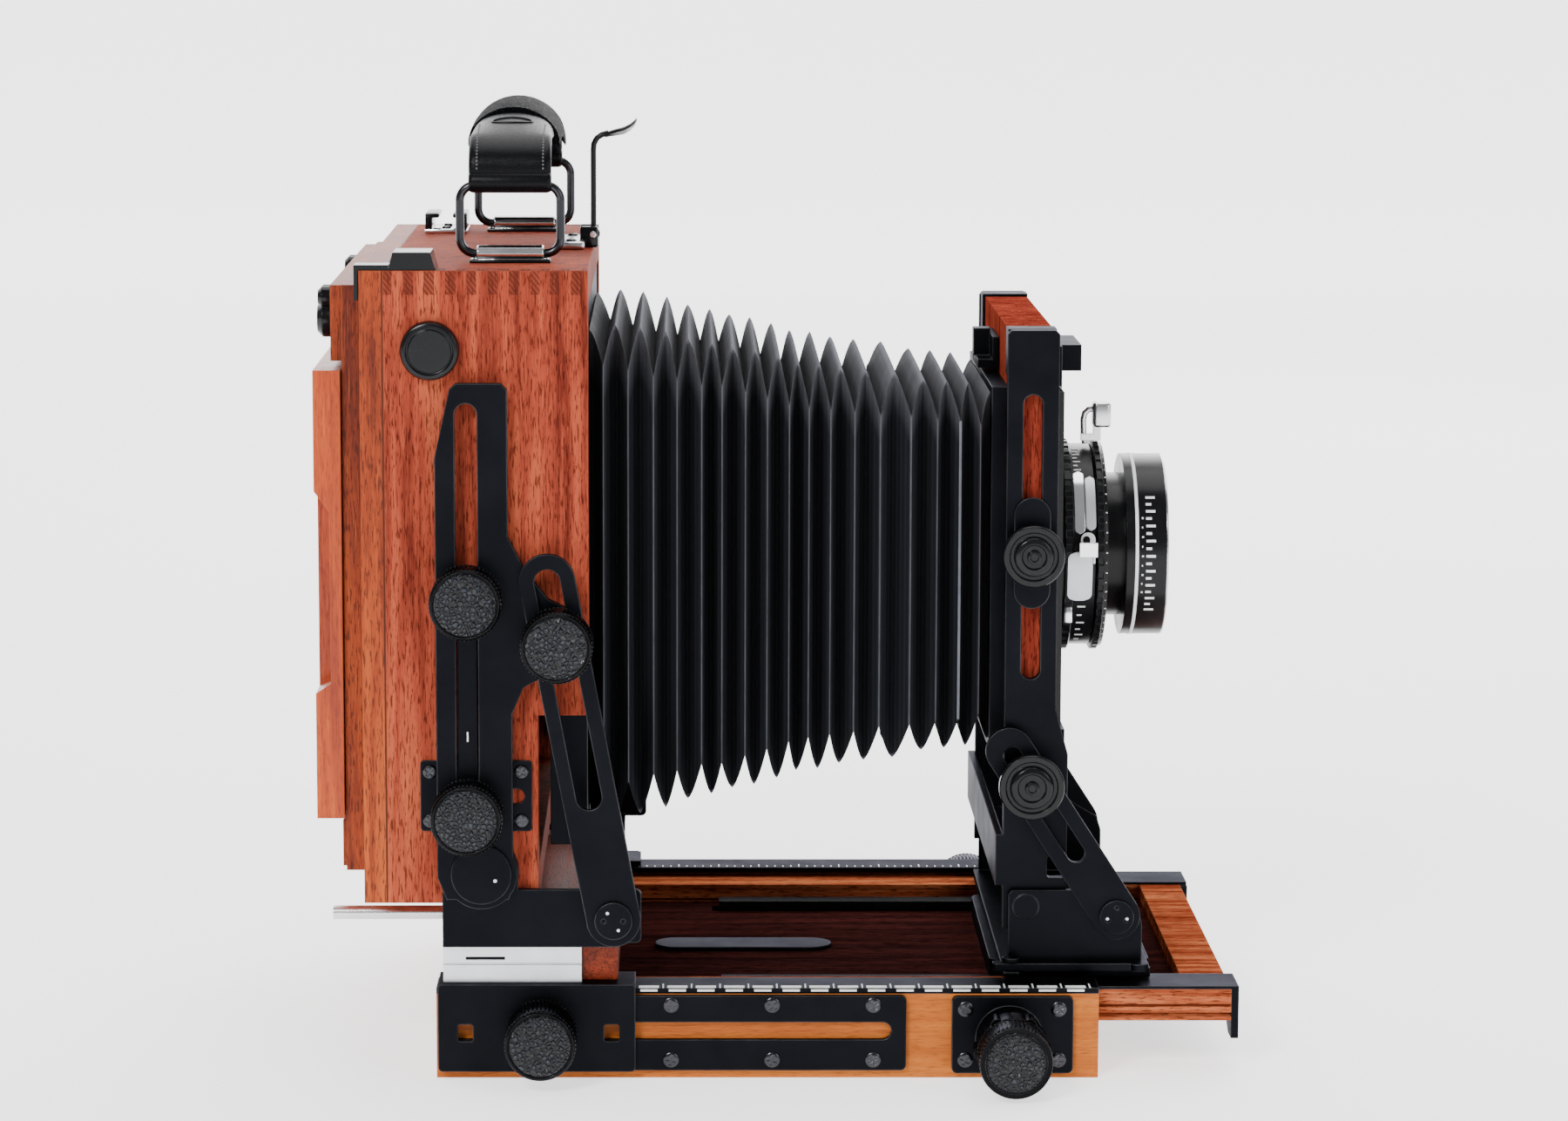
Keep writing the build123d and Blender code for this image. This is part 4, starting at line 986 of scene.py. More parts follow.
@dataclass
class LeatherKnob:
    """A knurled clamping knob with a leather-grain face, one on each side of the camera."""

    name: str
    body: str
    centre: Size
    inner: float
    seat: float
    face: float
    radius: float = 9.5
    stud: float = 1.9
    ridges: int = 54
    node: Optional[str] = None

    def profile(self) -> list[Size]:
        """The knob's section, (radius, distance from the camera's middle)."""
        rim = self.radius
        section = [(0.0, self.inner), (self.stud, self.inner), (self.stud, self.seat)]
        if self.node is None:
            section = [(0.0, self.seat)]
        return section + [
            (rim - 0.9, self.seat), (rim - 0.25, self.seat + 0.35), (rim, self.seat + 0.8),
            (rim, self.face - 1.2), (rim - 0.15, self.face - 0.7), (rim - 0.6, self.face - 0.25),
            (rim - 1.0, self.face - 0.25), (rim - 1.15, self.face - 0.6), (rim - 1.35, self.face - 0.6),
            (rim - 1.5, self.face + 0.15), (rim - 2.4, self.face + 0.42), (rim - 5.0, self.face + 0.52),
            (0.0, self.face + 0.55),
        ]

    def side(self, axis: Axis) -> Piece:
        """One knob.

        Args:
            axis: the way it faces.

        Returns:
            The knob, in two finishes.
        """
        x, z = self.centre
        knob = turned(self.profile(), (x, 0.0, z), axis, self.ridges * 2)
        self.knurl(knob)
        paint(knob, "knurl")
        middle = Vector((x * MM, 0.0, z * MM))
        out = axis.value

        def on_face(polygon: bpy.types.MeshPolygon) -> bool:
            """True on the leather disc."""
            offset = Vector(polygon.center) - middle
            along = offset.dot(out)
            from_middle = (offset - out * along).length
            return along > (self.face - 0.55) * MM and from_middle < (self.radius - 1.36) * MM

        paint_faces(knob, "knob_leather", on_face)
        return knob

    def knurl(self, knob: Piece) -> None:
        """Cuts a groove between each two ridges of the rim.

        Args:
            knob: the turned blank.
        """
        take(knob)
        bpy.ops.object.mode_set(mode="EDIT")
        bpy.ops.mesh.select_mode(type="FACE")
        bpy.ops.mesh.select_all(action="DESELECT")
        bpy.ops.object.mode_set(mode="OBJECT")
        x, z = self.centre
        middle = Vector((x * MM, 0.0, z * MM))
        step = math.pi / self.ridges
        for polygon in knob.data.polygons:
            offset = Vector(polygon.center) - middle
            angle = math.atan2(offset.z, offset.x)
            flat = Vector((offset.x, offset.z)).length > (self.radius - 0.12) * MM
            polygon.select = flat and int((angle + math.pi) // step) % 2 == 0
        bpy.ops.object.mode_set(mode="EDIT")
        bpy.ops.mesh.select_mode(type="FACE")
        bpy.ops.mesh.inset(thickness=0.06 * MM, depth=-0.38 * MM, use_individual=True)
        bpy.ops.object.mode_set(mode="OBJECT")

    def build(self) -> None:
        """Makes both knobs and mounts them."""
        pair = join([self.side(Axis.MINUS_Y), self.side(Axis.Y)])
        mount(pair, self.name, self.body, [self.node] if self.node else [])


@dataclass
class SteppedKnob:
    """A plain black knob turned in steps, with a small hub, as on the front standard."""

    name: str
    body: str
    centre: Size
    inner: float
    seat: float
    face: float
    radius: float
    stud: float

    def build(self) -> None:
        """Makes both knobs and mounts them."""
        r, seat, face = self.radius, self.seat, self.face
        section = [
            (0.0, self.inner), (self.stud, self.inner), (self.stud, seat), (r - 1.2, seat),
            (r - 0.5, seat + 0.4), (r - 0.5, face - 3.4), (r, face - 3.0), (r, face - 1.5),
            (r - 0.35, face - 1.1), (r - 1.7, face - 1.1), (r - 2.0, face - 1.7), (r - 2.9, face - 1.7),
            (r - 3.2, face - 0.5), (r - 3.6, face - 0.2), (r - 4.9, face - 0.2), (r - 5.2, face - 0.9),
            (1.9, face - 0.9), (1.75, face + 0.35), (1.2, face + 0.5), (1.0, face + 0.1), (0.0, face + 0.1),
        ]
        x, z = self.centre
        sides = [turned(section, (x, 0.0, z), axis, 72) for axis in (Axis.MINUS_Y, Axis.Y)]
        pair = join([paint(side, "black_gloss") for side in sides])
        mount(pair, self.name, self.body, [self.name], 40.0)


KNOBS = (
    LeatherKnob("rise_knobs", "rise_knobs", (-79.4, 130.5), 76.0, 88.7, 99.0, node="rise_knobs"),
    LeatherKnob("guide_knobs", "guide_knobs", (-79.4, 73.5), 76.0, 89.8, 100.0, node="guide_knobs"),
    LeatherKnob("strut_knobs", "strut_knobs", (-55.6, 119.5), 85.8, 91.0, 101.0, node="strut_knobs"),
    LeatherKnob("carriage_knobs", "carriage_knobs", (-60.3, 13.2), 82.3, 86.6, 101.0, node="carriage_knobs"),
    LeatherKnob("focus_knob_grips", "pinion", (64.6, 11.0), 99.8, 99.8, 110.2, radius=9.7),
    SteppedKnob("brace_knobs", "brace_knobs", (70.8, 76.9), 58.0, 66.0, 73.0, 8.8, 1.9),
    SteppedKnob("front_rise_knobs", "front_rise_knobs", (70.9, 139.0), 58.2, 62.7, 70.5, 8.3, 1.2),
)


# ---- Bellows ----------------------------------------------------------------------------------------------


@dataclass
class Bellows:
    """Square tapered bellows, folded alternately: the sides stand out where the top and bottom dip.

    It is cut into lengths, one for each movement between the body and the lens frame, and two lengths meet in
    the same ring.
    """

    rear: float = -47.6
    front: float = 60.4
    middle_z: float = 132.8
    side_ridges: tuple[float, ...] = (
        -43.9, -37.3, -30.5, -24.2, -17.6, -12.2, -5.9, 0.0, 5.9, 11.2, 17.0, 23.5, 30.4, 38.7, 45.9, 52.0,
        57.6,
    )
    chain: tuple[str, ...] = (
        "rear_body", "rear_arms", "rear_carriage", "base", "bed", "front_carriage", "front_columns",
        "rise_sliders", "lens_frame",
    )
    cuts: tuple[float, ...] = (-40.6, -27.35, -8.95, 20.2, 31.0, 42.3, 52.0)
    sub_rings: int = 6
    side_segments: int = 10
    seed: int = 7
    half_height: tuple[Size, ...] = (
        (-48.0, 67.2), (-40.0, 66.7), (-20.0, 63.0), (13.0, 55.2), (53.0, 49.7), (61.0, 48.6),
    )
    half_width: tuple[Size, ...] = ((-48.0, 66.2), (-10.0, 61.2), (30.0, 55.6), (61.0, 51.0))
    depth: tuple[Size, ...] = ((-48.0, 10.6), (20.0, 10.6), (61.0, 9.4))

    @staticmethod
    def along(table: Sequence[Size], x: float) -> float:
        """A size looked up along the bellows.

        Args:
            table: (x, size) pairs in order.
            x: the place.

        Returns:
            The size there.
        """
        for (x0, v0), (x1, v1) in zip(table, table[1:]):
            if x <= x1:
                return v0 + (v1 - v0) * (x - x0) / (x1 - x0)
        return table[-1][1]

    def rings(self) -> list[Ring]:
        """Every ring as (x, half width, half height, side fold from 0 in the dip to 1 on the ridge)."""
        drift = random.Random(self.seed)
        keys: list[Size] = [(self.rear, 0.15)]
        for number, ridge in enumerate(self.side_ridges):
            keys.append((ridge, 1.0))
            after = self.side_ridges[number + 1] if number + 1 < len(self.side_ridges) else None
            if after is not None:
                keys.append(((ridge + after) / 2 + drift.uniform(-0.35, 0.35), 0.0))
        keys.append((self.front, 0.2))
        lift = [drift.uniform(-0.7, 0.7) for _ in keys]
        rings = []
        for (x0, f0), (x1, f1), l0, l1 in zip(keys, keys[1:], lift, lift[1:]):
            for step in range(self.sub_rings):
                t = step / self.sub_rings
                bend = 1 - math.cos(math.pi / 2 * t) if f1 > f0 else math.sin(math.pi / 2 * t)
                fold = f0 + (f1 - f0) * (0.3 * t + 0.7 * bend)
                rings.append(self.ring(x0 + (x1 - x0) * t, fold, l0 + (l1 - l0) * t))
        rings.append(self.ring(self.front, keys[-1][1], lift[-1]))
        return rings

    def ring(self, x: float, fold: float, lift: float) -> Ring:
        """One ring's sizes.

        Args:
            x: its place.
            fold: 1 on a side ridge, 0 on a top ridge.
            lift: small unevenness.

        Returns:
            (x, half width, half height, fold).
        """
        deep = self.along(self.depth, x)
        wide = self.along(self.half_width, x) + lift * 0.6
        high = self.along(self.half_height, x) + lift
        return x, wide - deep * (1 - fold), high - deep * fold, fold

    def outline(self, ring: Ring) -> list[tuple[Point, float, float]]:
        """Points round one ring, each with its fold-edge value and its share of painted top light.

        Args:
            ring: the ring's sizes.

        Returns:
            (point in metres, edge, painted top light) round the ring, from the lower near corner.
        """
        x, wide, high, fold = ring
        count = self.side_segments
        around = []
        for side in range(4):
            for step in range(count):
                t = step / count * 2 - 1
                bow = 1 - t * t
                upright = side in (0, 2)
                edge = fold if upright else 1 - fold
                if abs(t) > 0.99:
                    edge = max(fold, 1 - fold)
                sag = bow * (0.9 if upright else 0.5) * (edge - 0.5)
                if side == 0:
                    y, z = -wide - sag, t * high
                elif side == 1:
                    y, z = t * wide, high + sag
                elif side == 2:
                    y, z = wide + sag, -t * high
                else:
                    y, z = -t * wide, -high - sag
                # Painted light: a large share of grey on the top panels as if lit from above, a little on the
                # bottom, almost none on the sides.
                face = 0.03 if upright else 0.75 if side == 1 else 0.1
                around.append(((x * MM, y * MM, (z + self.middle_z) * MM), edge, face))
        return around

    def build(self) -> None:
        """Makes each length and hides the plain solid."""
        rings = self.rings()
        limits = [0] + [min(range(len(rings)), key=lambda i: abs(rings[i][0] - cut)) for cut in self.cuts]
        limits.append(len(rings) - 1)
        for number, (first, last) in enumerate(zip(limits, limits[1:])):
            length = self.length_of_cloth(rings[first:last + 1])
            complete(length, f"bellows_length_{number + 1}", ["bellows"], 24.0)
            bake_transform(length)

    def length_of_cloth(self, rings: Sequence[Ring]) -> Piece:
        """One length of the bellows as a thin shell, open at both ends.

        Args:
            rings: its rings.

        Returns:
            The painted piece.
        """
        outlines = [self.outline(ring) for ring in rings]
        points = [point for outline in outlines for point, _, _ in outline]
        piece = skinned("bellows", points, len(outlines[0]), closed=False)
        # The second attribute is the share of painted top light.
        for name, slot in (("fold_edge", 1), ("painted_top_light", 2)):
            values = piece.data.attributes.new(name, "FLOAT", "POINT")
            values.data.foreach_set("value", [entry[slot] for outline in outlines for entry in outline])
        take(piece)
        wall = piece.modifiers.new("wall", "SOLIDIFY")
        wall.thickness = 0.35 * MM
        wall.offset = -1.0
        bpy.ops.object.modifier_apply(modifier="wall")
        return paint(piece, "pleated_cloth")


# ---- Carrying strap ---------------------------------------------------------------------------------------

TONGUE_STEPS = 6.0
"""Points of the route over which a band's rounded tongue narrows."""


@dataclass
class CarryingStrap:
    """A glossy strap arched between two rings, doubled at its ends, under a wide padded hand cover."""

    middle_x: float = -68.6
    half_x: float = 11.0
    cover_x: float = 13.4
    foot_y: float = 56.0
    foot_z: float = 238.8
    top_z: float = 255.6
    steps: int = 36

    def route(self, side: int) -> list[Ring]:
        """The strap's middle line on one side.

        Args:
            side: -1 for the near half, 1 for the far half.

        Returns:
            (y, z, outward y, outward z) from the crown to the ring.
        """
        rise = self.top_z - self.foot_z
        line = []
        for step in range(self.steps + 1):
            angle = math.pi / 2 * step / self.steps
            bulge = 1.6 * math.sin(math.pi * max(0.0, step / self.steps - 0.45) / 0.55)
            y = self.foot_y * math.sin(angle) ** 0.92 + bulge if step else 0.0
            z = self.foot_z + rise * math.cos(angle) ** 0.86 if step < self.steps else self.foot_z
            line.append((side * y, z))
        out = []
        for index, (y, z) in enumerate(line):
            before, after = line[max(0, index - 1)], line[min(len(line) - 1, index + 1)]
            run = Vector((after[0] - before[0], after[1] - before[1])).normalized()
            normal = Vector((run.y, -run.x)) * (-side) if index else Vector((0.0, 1.0))
            out.append((y, z, normal.x, normal.y))
        return out

    def cup(self, index: int, cover: bool) -> float:
        """How far the leather's edges curve down, as a share of its half width.

        Args:
            index: the route's point.
            cover: True for the hand cover.

        Returns:
            The share.
        """
        if cover:
            return 1.0 - 0.25 * index / self.steps
        return 0.72 * max(0.0, 1 - (index / (0.62 * self.steps)) ** 2)

    def band(
        self, side: int, wide: float, low: float, high: float, first: int, last: int, finish: str,
        cover: bool = False,
    ) -> Piece:
        """A band of leather along the route, with a rounded tongue where it stops short of the ring.

        Args:
            side: -1 for the near half, 1 for the far half.
            wide: half its width.
            low: its inner face, from the middle line.
            high: its outer face.
            first: the route's point it starts at.
            last: the route's point it ends at.
            finish: its leather.
            cover: True for the hand cover, which is bent over the strap.

        Returns:
            The band.
        """
        section = self.section()
        route = self.route(side)
        points = []
        for index in range(first, last + 1):
            y, z, ny, nz = route[index]
            left = (last - index) / TONGUE_STEPS
            narrow = 1.0
            if not cover and left < 1.0 and last != self.steps:
                narrow = math.sqrt(max(0.02, 1 - (1 - left) ** 2))
            cup = self.cup(index, cover)
            for across, up in section:
                lift = (low + high) / 2 + up * (high - low) / 2
                reach = wide + (up * (high - low) / 2 if cover else 0.0)
                lift -= cup * reach * (1 - math.sqrt(max(0.0, 1 - (across * 0.995) ** 2)))
                x = self.middle_x + across * reach * narrow
                points.append((x * MM, (y + ny * lift) * MM, (z + nz * lift) * MM))
        return paint(skinned("strap", points, len(section)), finish)

    @staticmethod
    def section() -> list[Size]:
        """The strap's rounded section, (across, up) from -1 to 1."""
        outline = []
        corners, squareness = 44, 14
        for step in range(corners):
            angle = 2 * math.pi * step / corners
            across = math.cos(angle)
            up = math.copysign(max(0.0, 1 - abs(across) ** squareness) ** 0.5, math.sin(angle))
            outline.append((across, up))
        return outline

    def loop(self, side: int) -> Piece:
        """The strap's end, rolled round the ring's bar.

        Args:
            side: -1 for the near half, 1 for the far half.

        Returns:
            The roll.
        """
        half = self.half_x
        section = [
            (0.0, -half), (2.2, -half), (2.7, -half + 0.4), (2.9, -half + 1.2), (2.9, half - 1.2),
            (2.7, half - 0.4), (2.2, half), (0.0, half),
        ]
        roll = turned(section, (self.middle_x, side * self.foot_y, self.foot_z - 0.9), Axis.X, 28)
        return paint(roll, "strap_leather")

    def stitches(self, side: int) -> Piece:
        """Two rows of thread along the doubled leather.

        Args:
            side: -1 for the near half, 1 for the far half.

        Returns:
            The stitches.
        """
        threads = []
        route = self.route(side)
        for index in range(15, self.steps - 2):
            y, z, ny, nz = route[index]
            y1, z1, *_ = route[index + 1]
            for across in (-0.80, 0.80):
                x = self.middle_x + across * self.half_x
                lift = 1.15 - self.cup(index, False) * self.half_x * 0.4
                start = (x, y + ny * lift, z + nz * lift)
                end = (x, y + (y1 - y) * 0.6 + ny * lift, z + (z1 - z) * 0.6 + nz * lift)
                threads.append(tube((start, end), 0.24, 4))
        return paint(join(threads), "thread")

    def eyelet(self, side: int) -> Piece:
        """A raised oval slot rim under the hand cover.

        Args:
            side: -1 for the near half, 1 for the far half.

        Returns:
            The rim.
        """
        y, z, ny, nz = self.route(side)[16]
        cup = self.cup(16, False) * self.half_x
        middle = Vector((self.middle_x, y + ny * 1.15, z + nz * 1.15))
        along = Vector((0.0, -nz, ny))
        points = []
        for step in range(29):
            angle = 2 * math.pi * step / 28
            across = 5.4 * math.cos(angle)
            drop = cup * (1 - math.sqrt(1 - (across / self.half_x) ** 2))
            offset = Vector((across, -ny * drop, -nz * drop))
            points.append(tuple(middle + offset + along * 2.4 * math.sin(angle)))
        return paint(tube(points, 0.42, 8), "strap_leather")

    def build(self) -> None:
        """Makes both halves, each from the crown down to its ring."""
        for side, ring, cover_end in ((-1, "handle_ring_right", 11), (1, "handle_ring_left", 22)):
            piece = join([
                self.band(side, self.half_x, -1.1, 1.2, 0, self.steps, "strap_leather"),
                self.band(side, self.half_x * 0.98, -2.9, -1.2, 18, self.steps, "strap_leather"),
                self.band(side, self.cover_x - 1.2, 0.4, 2.5, 0, cover_end, "pad_leather", True),
                self.loop(side), self.stitches(side), self.eyelet(side),
            ])
            name = "carrying_strap_near" if side < 0 else "carrying_strap_far"
            complete(piece, name, ["handle_strap"], 40.0)
            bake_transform(piece)


# ---- Screws -----------------------------------------------------------------------------------------------


def cross_head(radius: float, height: float) -> Piece:
    """A pan head with a cross recess, at the origin and facing -Y.

    Args:
        radius: its radius, millimetres.
        height: its height, millimetres.

    Returns:
        The head.
    """
    section = [
        (0.0, -0.4), (radius * 0.5, -0.4), (radius, 0.0), (radius, height * 0.45),
        (radius * 0.86, height * 0.85), (radius * 0.55, height), (0.0, height),
    ]
    head = turned(section, (0.0, 0.0, 0.0), Axis.MINUS_Y, 24)
    arm, wide, deep, floor = radius * 0.68, radius * 0.19, -height - 1.0, -height * 0.35
    carve(head, slab((-arm, deep, -wide), (arm, floor, wide)))
    carve(head, slab((-wide, deep, -arm), (wide, floor, arm)))
    return head


@dataclass
class CrossScrews:
    """Pan-head screws with a cross recess, one node's worth, on both sides of the camera."""

    name: str
    body: str
    node: str
    places: tuple[Size, ...]
    seat: float
    radius: float
    height: float

    def build(self) -> None:
        """Copies the head to every place on both sides."""
        model = cross_head(self.radius, self.height)
        turn = random.Random(len(self.places))
        heads = []
        for x, z in self.places:
            spin = Matrix.Rotation(turn.uniform(0, math.pi), 4, "Y")
            heads.append(copy_to(model, Matrix.Translation(Vector((x, -self.seat, z)) * MM) @ spin))
        bpy.data.objects.remove(model)
        near = join(heads)
        far = other_side(near)
        mount(paint(join([near, far]), "dark_steel"), self.name, self.body, [self.node])


BASE_SCREWS = CrossScrews(
    "base_screw_heads", "base", "base_screws",
    tuple((x, z) for x in (-25.8, 1.2, 28.2) for z in (5.3, 20.3))
    + tuple((x, z) for x in (52.8, 77.7) for z in (5.3, 19.2)),
    seat=83.7, radius=2.1, height=0.5,
)


# ---- Body trim --------------------------------------------------------------------------------------------

HOOK_PIVOT = (-47.5, 0.0, 220.1)


def disc(
    centre: Point, axis: Axis, radius: float, height: float, finish: str, rim: float = 0.3, steps: int = 40
) -> Piece:
    """A turned disc with a broken edge, standing on its centre point.

    Args:
        centre: the middle of its foot.
        axis: the way it stands.
        radius: its radius.
        height: its height.
        finish: a key of FINISHES.
        rim: how much of the edge is broken.
        steps: faces round it.

    Returns:
        The disc.
    """
    section = [
        (0.0, 0.0), (radius - 0.05, 0.0), (radius, 0.1), (radius, height - rim), (radius - rim, height),
        (0.0, height),
    ]
    return paint(turned(section, centre, axis, steps), finish)


@dataclass
class BodyTrim:
    """Small fittings on the rear body: screws, side caps, top hardware, latches, hook and painted glints on
    the pivots.
    """

    side: float = 83.0
    top: float = 216.5
    ring_y: float = 56.0

    def build(self) -> None:
        """Makes every group."""
        self.screws()
        self.top_hardware()
        for name, y in (("back_latch_right", -50.0), ("back_latch_left", 50.0)):
            self.latch(name, y)
        self.pivot_glint_dots()
        self.hook()

    def screws(self) -> None:
        """Cross-head screws, a plain black cap on each side, and the latch screws."""
        model = cross_head(1.9, 0.6)
        parts = []
        for number, (x, z) in enumerate((x, z) for x in (-89.7, -65.4) for z in (70.4, 83.6)):
            spin = Matrix.Rotation(number * 0.7, 4, "Y")
            parts.append(copy_to(model, Matrix.Translation(Vector((x, -self.side - 0.5, z)) * MM) @ spin))
        bpy.data.objects.remove(model)
        near = paint(join(parts), "dark_steel")
        cap = [
            (0.0, -0.1), (7.7, -0.1), (7.8, 0.4), (7.75, 2.5), (7.3, 3.35), (6.8, 3.6), (6.4, 3.6),
            (6.1, 3.15), (5.8, 3.05), (5.5, 3.3), (0.0, 3.3),
        ]
        near = join([near, paint(turned(cap, (-88.8, -self.side, 195.7), Axis.MINUS_Y, 64), "black_gloss")])
        far = other_side(near)
        for y in (-50.0, 50.0):
            foot = disc((-115.8, y, 201.0), Axis.MINUS_X, 1.5, 3.8, "dark_steel", 0.1, 20)
            head = disc((-119.4, y, 201.0), Axis.MINUS_X, 2.6, 1.2, "dark_steel", 0.4, 28)
            carve(head, slab((-121.4, y - 0.3, 197.0), (-120.1, y + 0.3, 205.0)))
            far = join([far, foot, head])
        mount(join([near, far]), "body_screw_heads", "rear_body", ["body_screws"])

    def top_hardware(self) -> None:
        """Ring mounts, the accessory shoe and the hook's base on the body's top."""
        top = self.top
        parts = []
        for y in (-self.ring_y, self.ring_y):
            parts.append(paint(slab((-79.4, y - 3.6, top), (-57.8, y + 3.6, top + 0.9), 0.35), "black_gloss"))
            sleeve = [
                (1.35, -8.9), (1.95, -8.9), (2.2, -8.6), (2.2, 8.6), (1.95, 8.9), (1.35, 8.9), (1.35, -8.9),
            ]
            parts.append(paint(turned(sleeve, (-68.6, y, 218.9), Axis.X, 28), "chrome"))
            for x in (-77.6, -59.6):
                parts.append(disc((x, y, top + 0.8), Axis.Z, 1.1, 0.6, "bright_steel", 0.25, 20))
        parts.append(paint(slab((-97.2, 45.8, top), (-84.8, 64.2, top + 1.3), 0.4), "chrome"))
        for low, high, lip_low, lip_high in ((-97.0, -95.0, -97.0, -93.0), (-87.0, -85.0, -89.0, -85.0)):
            rail = slab((low, 46.0, top + 1.1), (high, 64.0, top + 4.9), 0.3)
            lip = slab((lip_low, 46.0, top + 4.5), (lip_high, 64.0, top + 5.8), 0.4)
            parts += [paint(rail, "black_gloss"), paint(lip, "black_gloss")]
        for y in (49.5, 60.5):
            parts.append(disc((-91.0, y, top + 1.2), Axis.Z, 1.3, 0.7, "dark_steel", 0.3, 20))
        parts.append(paint(slab((-57.2, -14.2, top), (-49.8, 14.2, top + 2.2), 0.7, 3), "bright_steel"))
        for y in (-10.5, 10.5):
            parts.append(disc((-53.5, y, top + 2.1), Axis.Z, 1.6, 0.6, "dark_steel", 0.3, 20))
        for low, high in ((-5.3, -2.6), (2.6, 5.3)):
            parts.append(paint(slab((-51.2, low, top), (-46.2, high, top + 5.8), 0.6, 3), "black_gloss"))
        pin = [(0.0, -6.0), (0.9, -6.0), (0.9, 6.0), (0.0, 6.0)]
        parts.append(paint(turned(pin, HOOK_PIVOT, Axis.Y, 16), "chrome"))
        mount(join(parts), "top_hardware", "rear_body", ["top_fittings"])

    def hook(self) -> None:
        """The bellows hook: an eye, a thin bent rod and a curved leaf at its tip."""
        barrel = [(0.95, -2.4), (1.8, -2.4), (1.8, 2.4), (0.95, 2.4), (0.95, -2.4)]
        eye = turned(barrel, HOOK_PIVOT, Axis.Y, 28)
        rod = tube(
            ((-47.5, 0, 221.6), (-47.5, 0, 243.2), (-47.3, 0, 245.0), (-46.5, 0, 246.5), (-45.2, 0, 247.4),
             (-43.2, 0, 247.9)), 0.8, 12,
        )
        points = []
        stations = ((-44.2, 247.6, 0.9), (-42.8, 247.9, 1.9), (-41.0, 248.1, 2.9), (-39.0, 248.5, 3.3),
                    (-37.2, 249.5, 3.0), (-36.0, 250.9, 1.9), (-35.4, 252.0, 0.7))
        for x, z, half in stations:
            cup = 0.3 * half
            for y, lift in (
                (-half, cup), (0.0, -0.15), (half, cup), (half, cup - 0.7), (0.0, -0.95), (-half, cup - 0.7),
            ):
                points.append((x * MM, y * MM, (z + lift) * MM))
        hook = join([eye, rod, skinned("leaf", points, 6)])
        mount(paint(hook, "black_gloss"), "bellows_hook_leaf", "bellows_hook", ["bellows_hook"])

    def latch(self, name: str, y: float) -> None:
        """A turning latch: a round boss with a two-lobed wing.

        Args:
            name: its node and body.
            y: where its screw stands.
        """
        boss = disc((-116.2, y, 201.0), Axis.MINUS_X, 5.0, 4.4, "black_gloss", 1.4, 48)
        parts = [boss]
        for lobe in (-2.4, 2.4):
            parts.append(disc((-116.3, y + lobe, 206.9), Axis.MINUS_X, 3.0, 4.0, "black_gloss", 1.1, 32))
        parts.append(paint(slab((-119.6, y - 3.2, 202.0), (-116.3, y + 3.2, 207.0), 0.6), "black_gloss"))
        mount(join(parts), name + "_wing", name, [name])

    def pivot_glint_dots(self) -> None:
        """Small bright steel dots: painted highlights where the spanner holes on each pivot catch the light.
        """
        for name, body, seat, places, radius in (
            ("rear_pivot_glints", "rear_carriage", 89.35, ((-72.3, 55.4),), 0.55),
            ("strut_pivot_glints", "rear_carriage", 91.95, ((-42.6, 47.2), (-39.7, 42.6)), 0.5),
            ("brace_pivot_glints", "front_carriage", 66.45, ((91.9, 39.9), (97.2, 39.9)), 0.5),
        ):
            dots = []
            for x, z in places:
                # Painted highlight: bright steel dots where the spanner holes glint.
                dots.append(disc((x, -seat, z), Axis.MINUS_Y, radius, 0.25, "bright_steel", 0.1, 16))
                dots.append(disc((x, seat, z), Axis.Y, radius, 0.25, "bright_steel", 0.1, 16))
            mount(join(dots), name, body)


# ---- Scales and marks -------------------------------------------------------------------------------------


class Markings:
    """White dashes and ticks on the base, and an index on each arm."""

    def build(self) -> None:
        """Makes the marks."""
        self.base_scale()
        self.far_scale()
        self.arm_index()

    def base_scale(self) -> None:
        """Broad white dashes with a tick at each gap, on the near strip and over its edge."""
        marks = []
        pitch, low, high = 7.6, 24.55, 24.68
        for number in range(17):
            start = -42.0 + number * pitch
            marks.append(slab((start, -82.0, low), (start + 5.4, -79.6, high)))
            marks.append(slab((start + 0.4, -82.08, 23.6), (start + 5.0, -81.95, 24.2)))
            marks.append(slab((start + 6.3, -82.0, low), (start + 6.7, -77.6, high)))
        mount(paint(join(marks), "white_paint"), "base_scale_marks", "base")

    def far_scale(self) -> None:
        """Fine ticks on the far strip."""
        marks = []
        for number in range(52):
            start = -36.0 + number * 2.4
            reach = 3.4 if number % 5 == 0 else 1.8
            marks.append(slab((start, 71.0, 24.58), (start + 0.35, 71.0 + reach, 24.66)))
        mount(paint(join(marks), "white_paint"), "far_scale_marks", "base")

    def arm_index(self) -> None:
        """A white index line on each guide under the arm's slot, and a strip of painted shade along each
        carriage block's slot.
        """
        marks = []
        slot_shade_strips = []
        for side in (-1, 1):
            low, high = sorted((side * 88.15, side * 88.3))
            marks.append(slab((-79.55, low, 92.6), (-79.15, high, 95.2)))
            # Painted shade: a dark strip on each carriage block where its slot lies in shade.
            low, high = sorted((side * 82.25, side * 83.15))
            slot_shade_strips.append(slab((-80.4, low, 32.65), (-70.1, high, 33.35)))
        mount(paint(join(marks), "white_paint"), "arm_index_marks", "rear_arms")
        mount(paint(join(slot_shade_strips), "black_metal"), "block_slot_shade", "rear_carriage")


# ---- Lens dressing ----------------------------------------------------------------------------------------

RING_STEPS = 96
"""Faces round each ring of the lens, two to a groove and its ridge."""


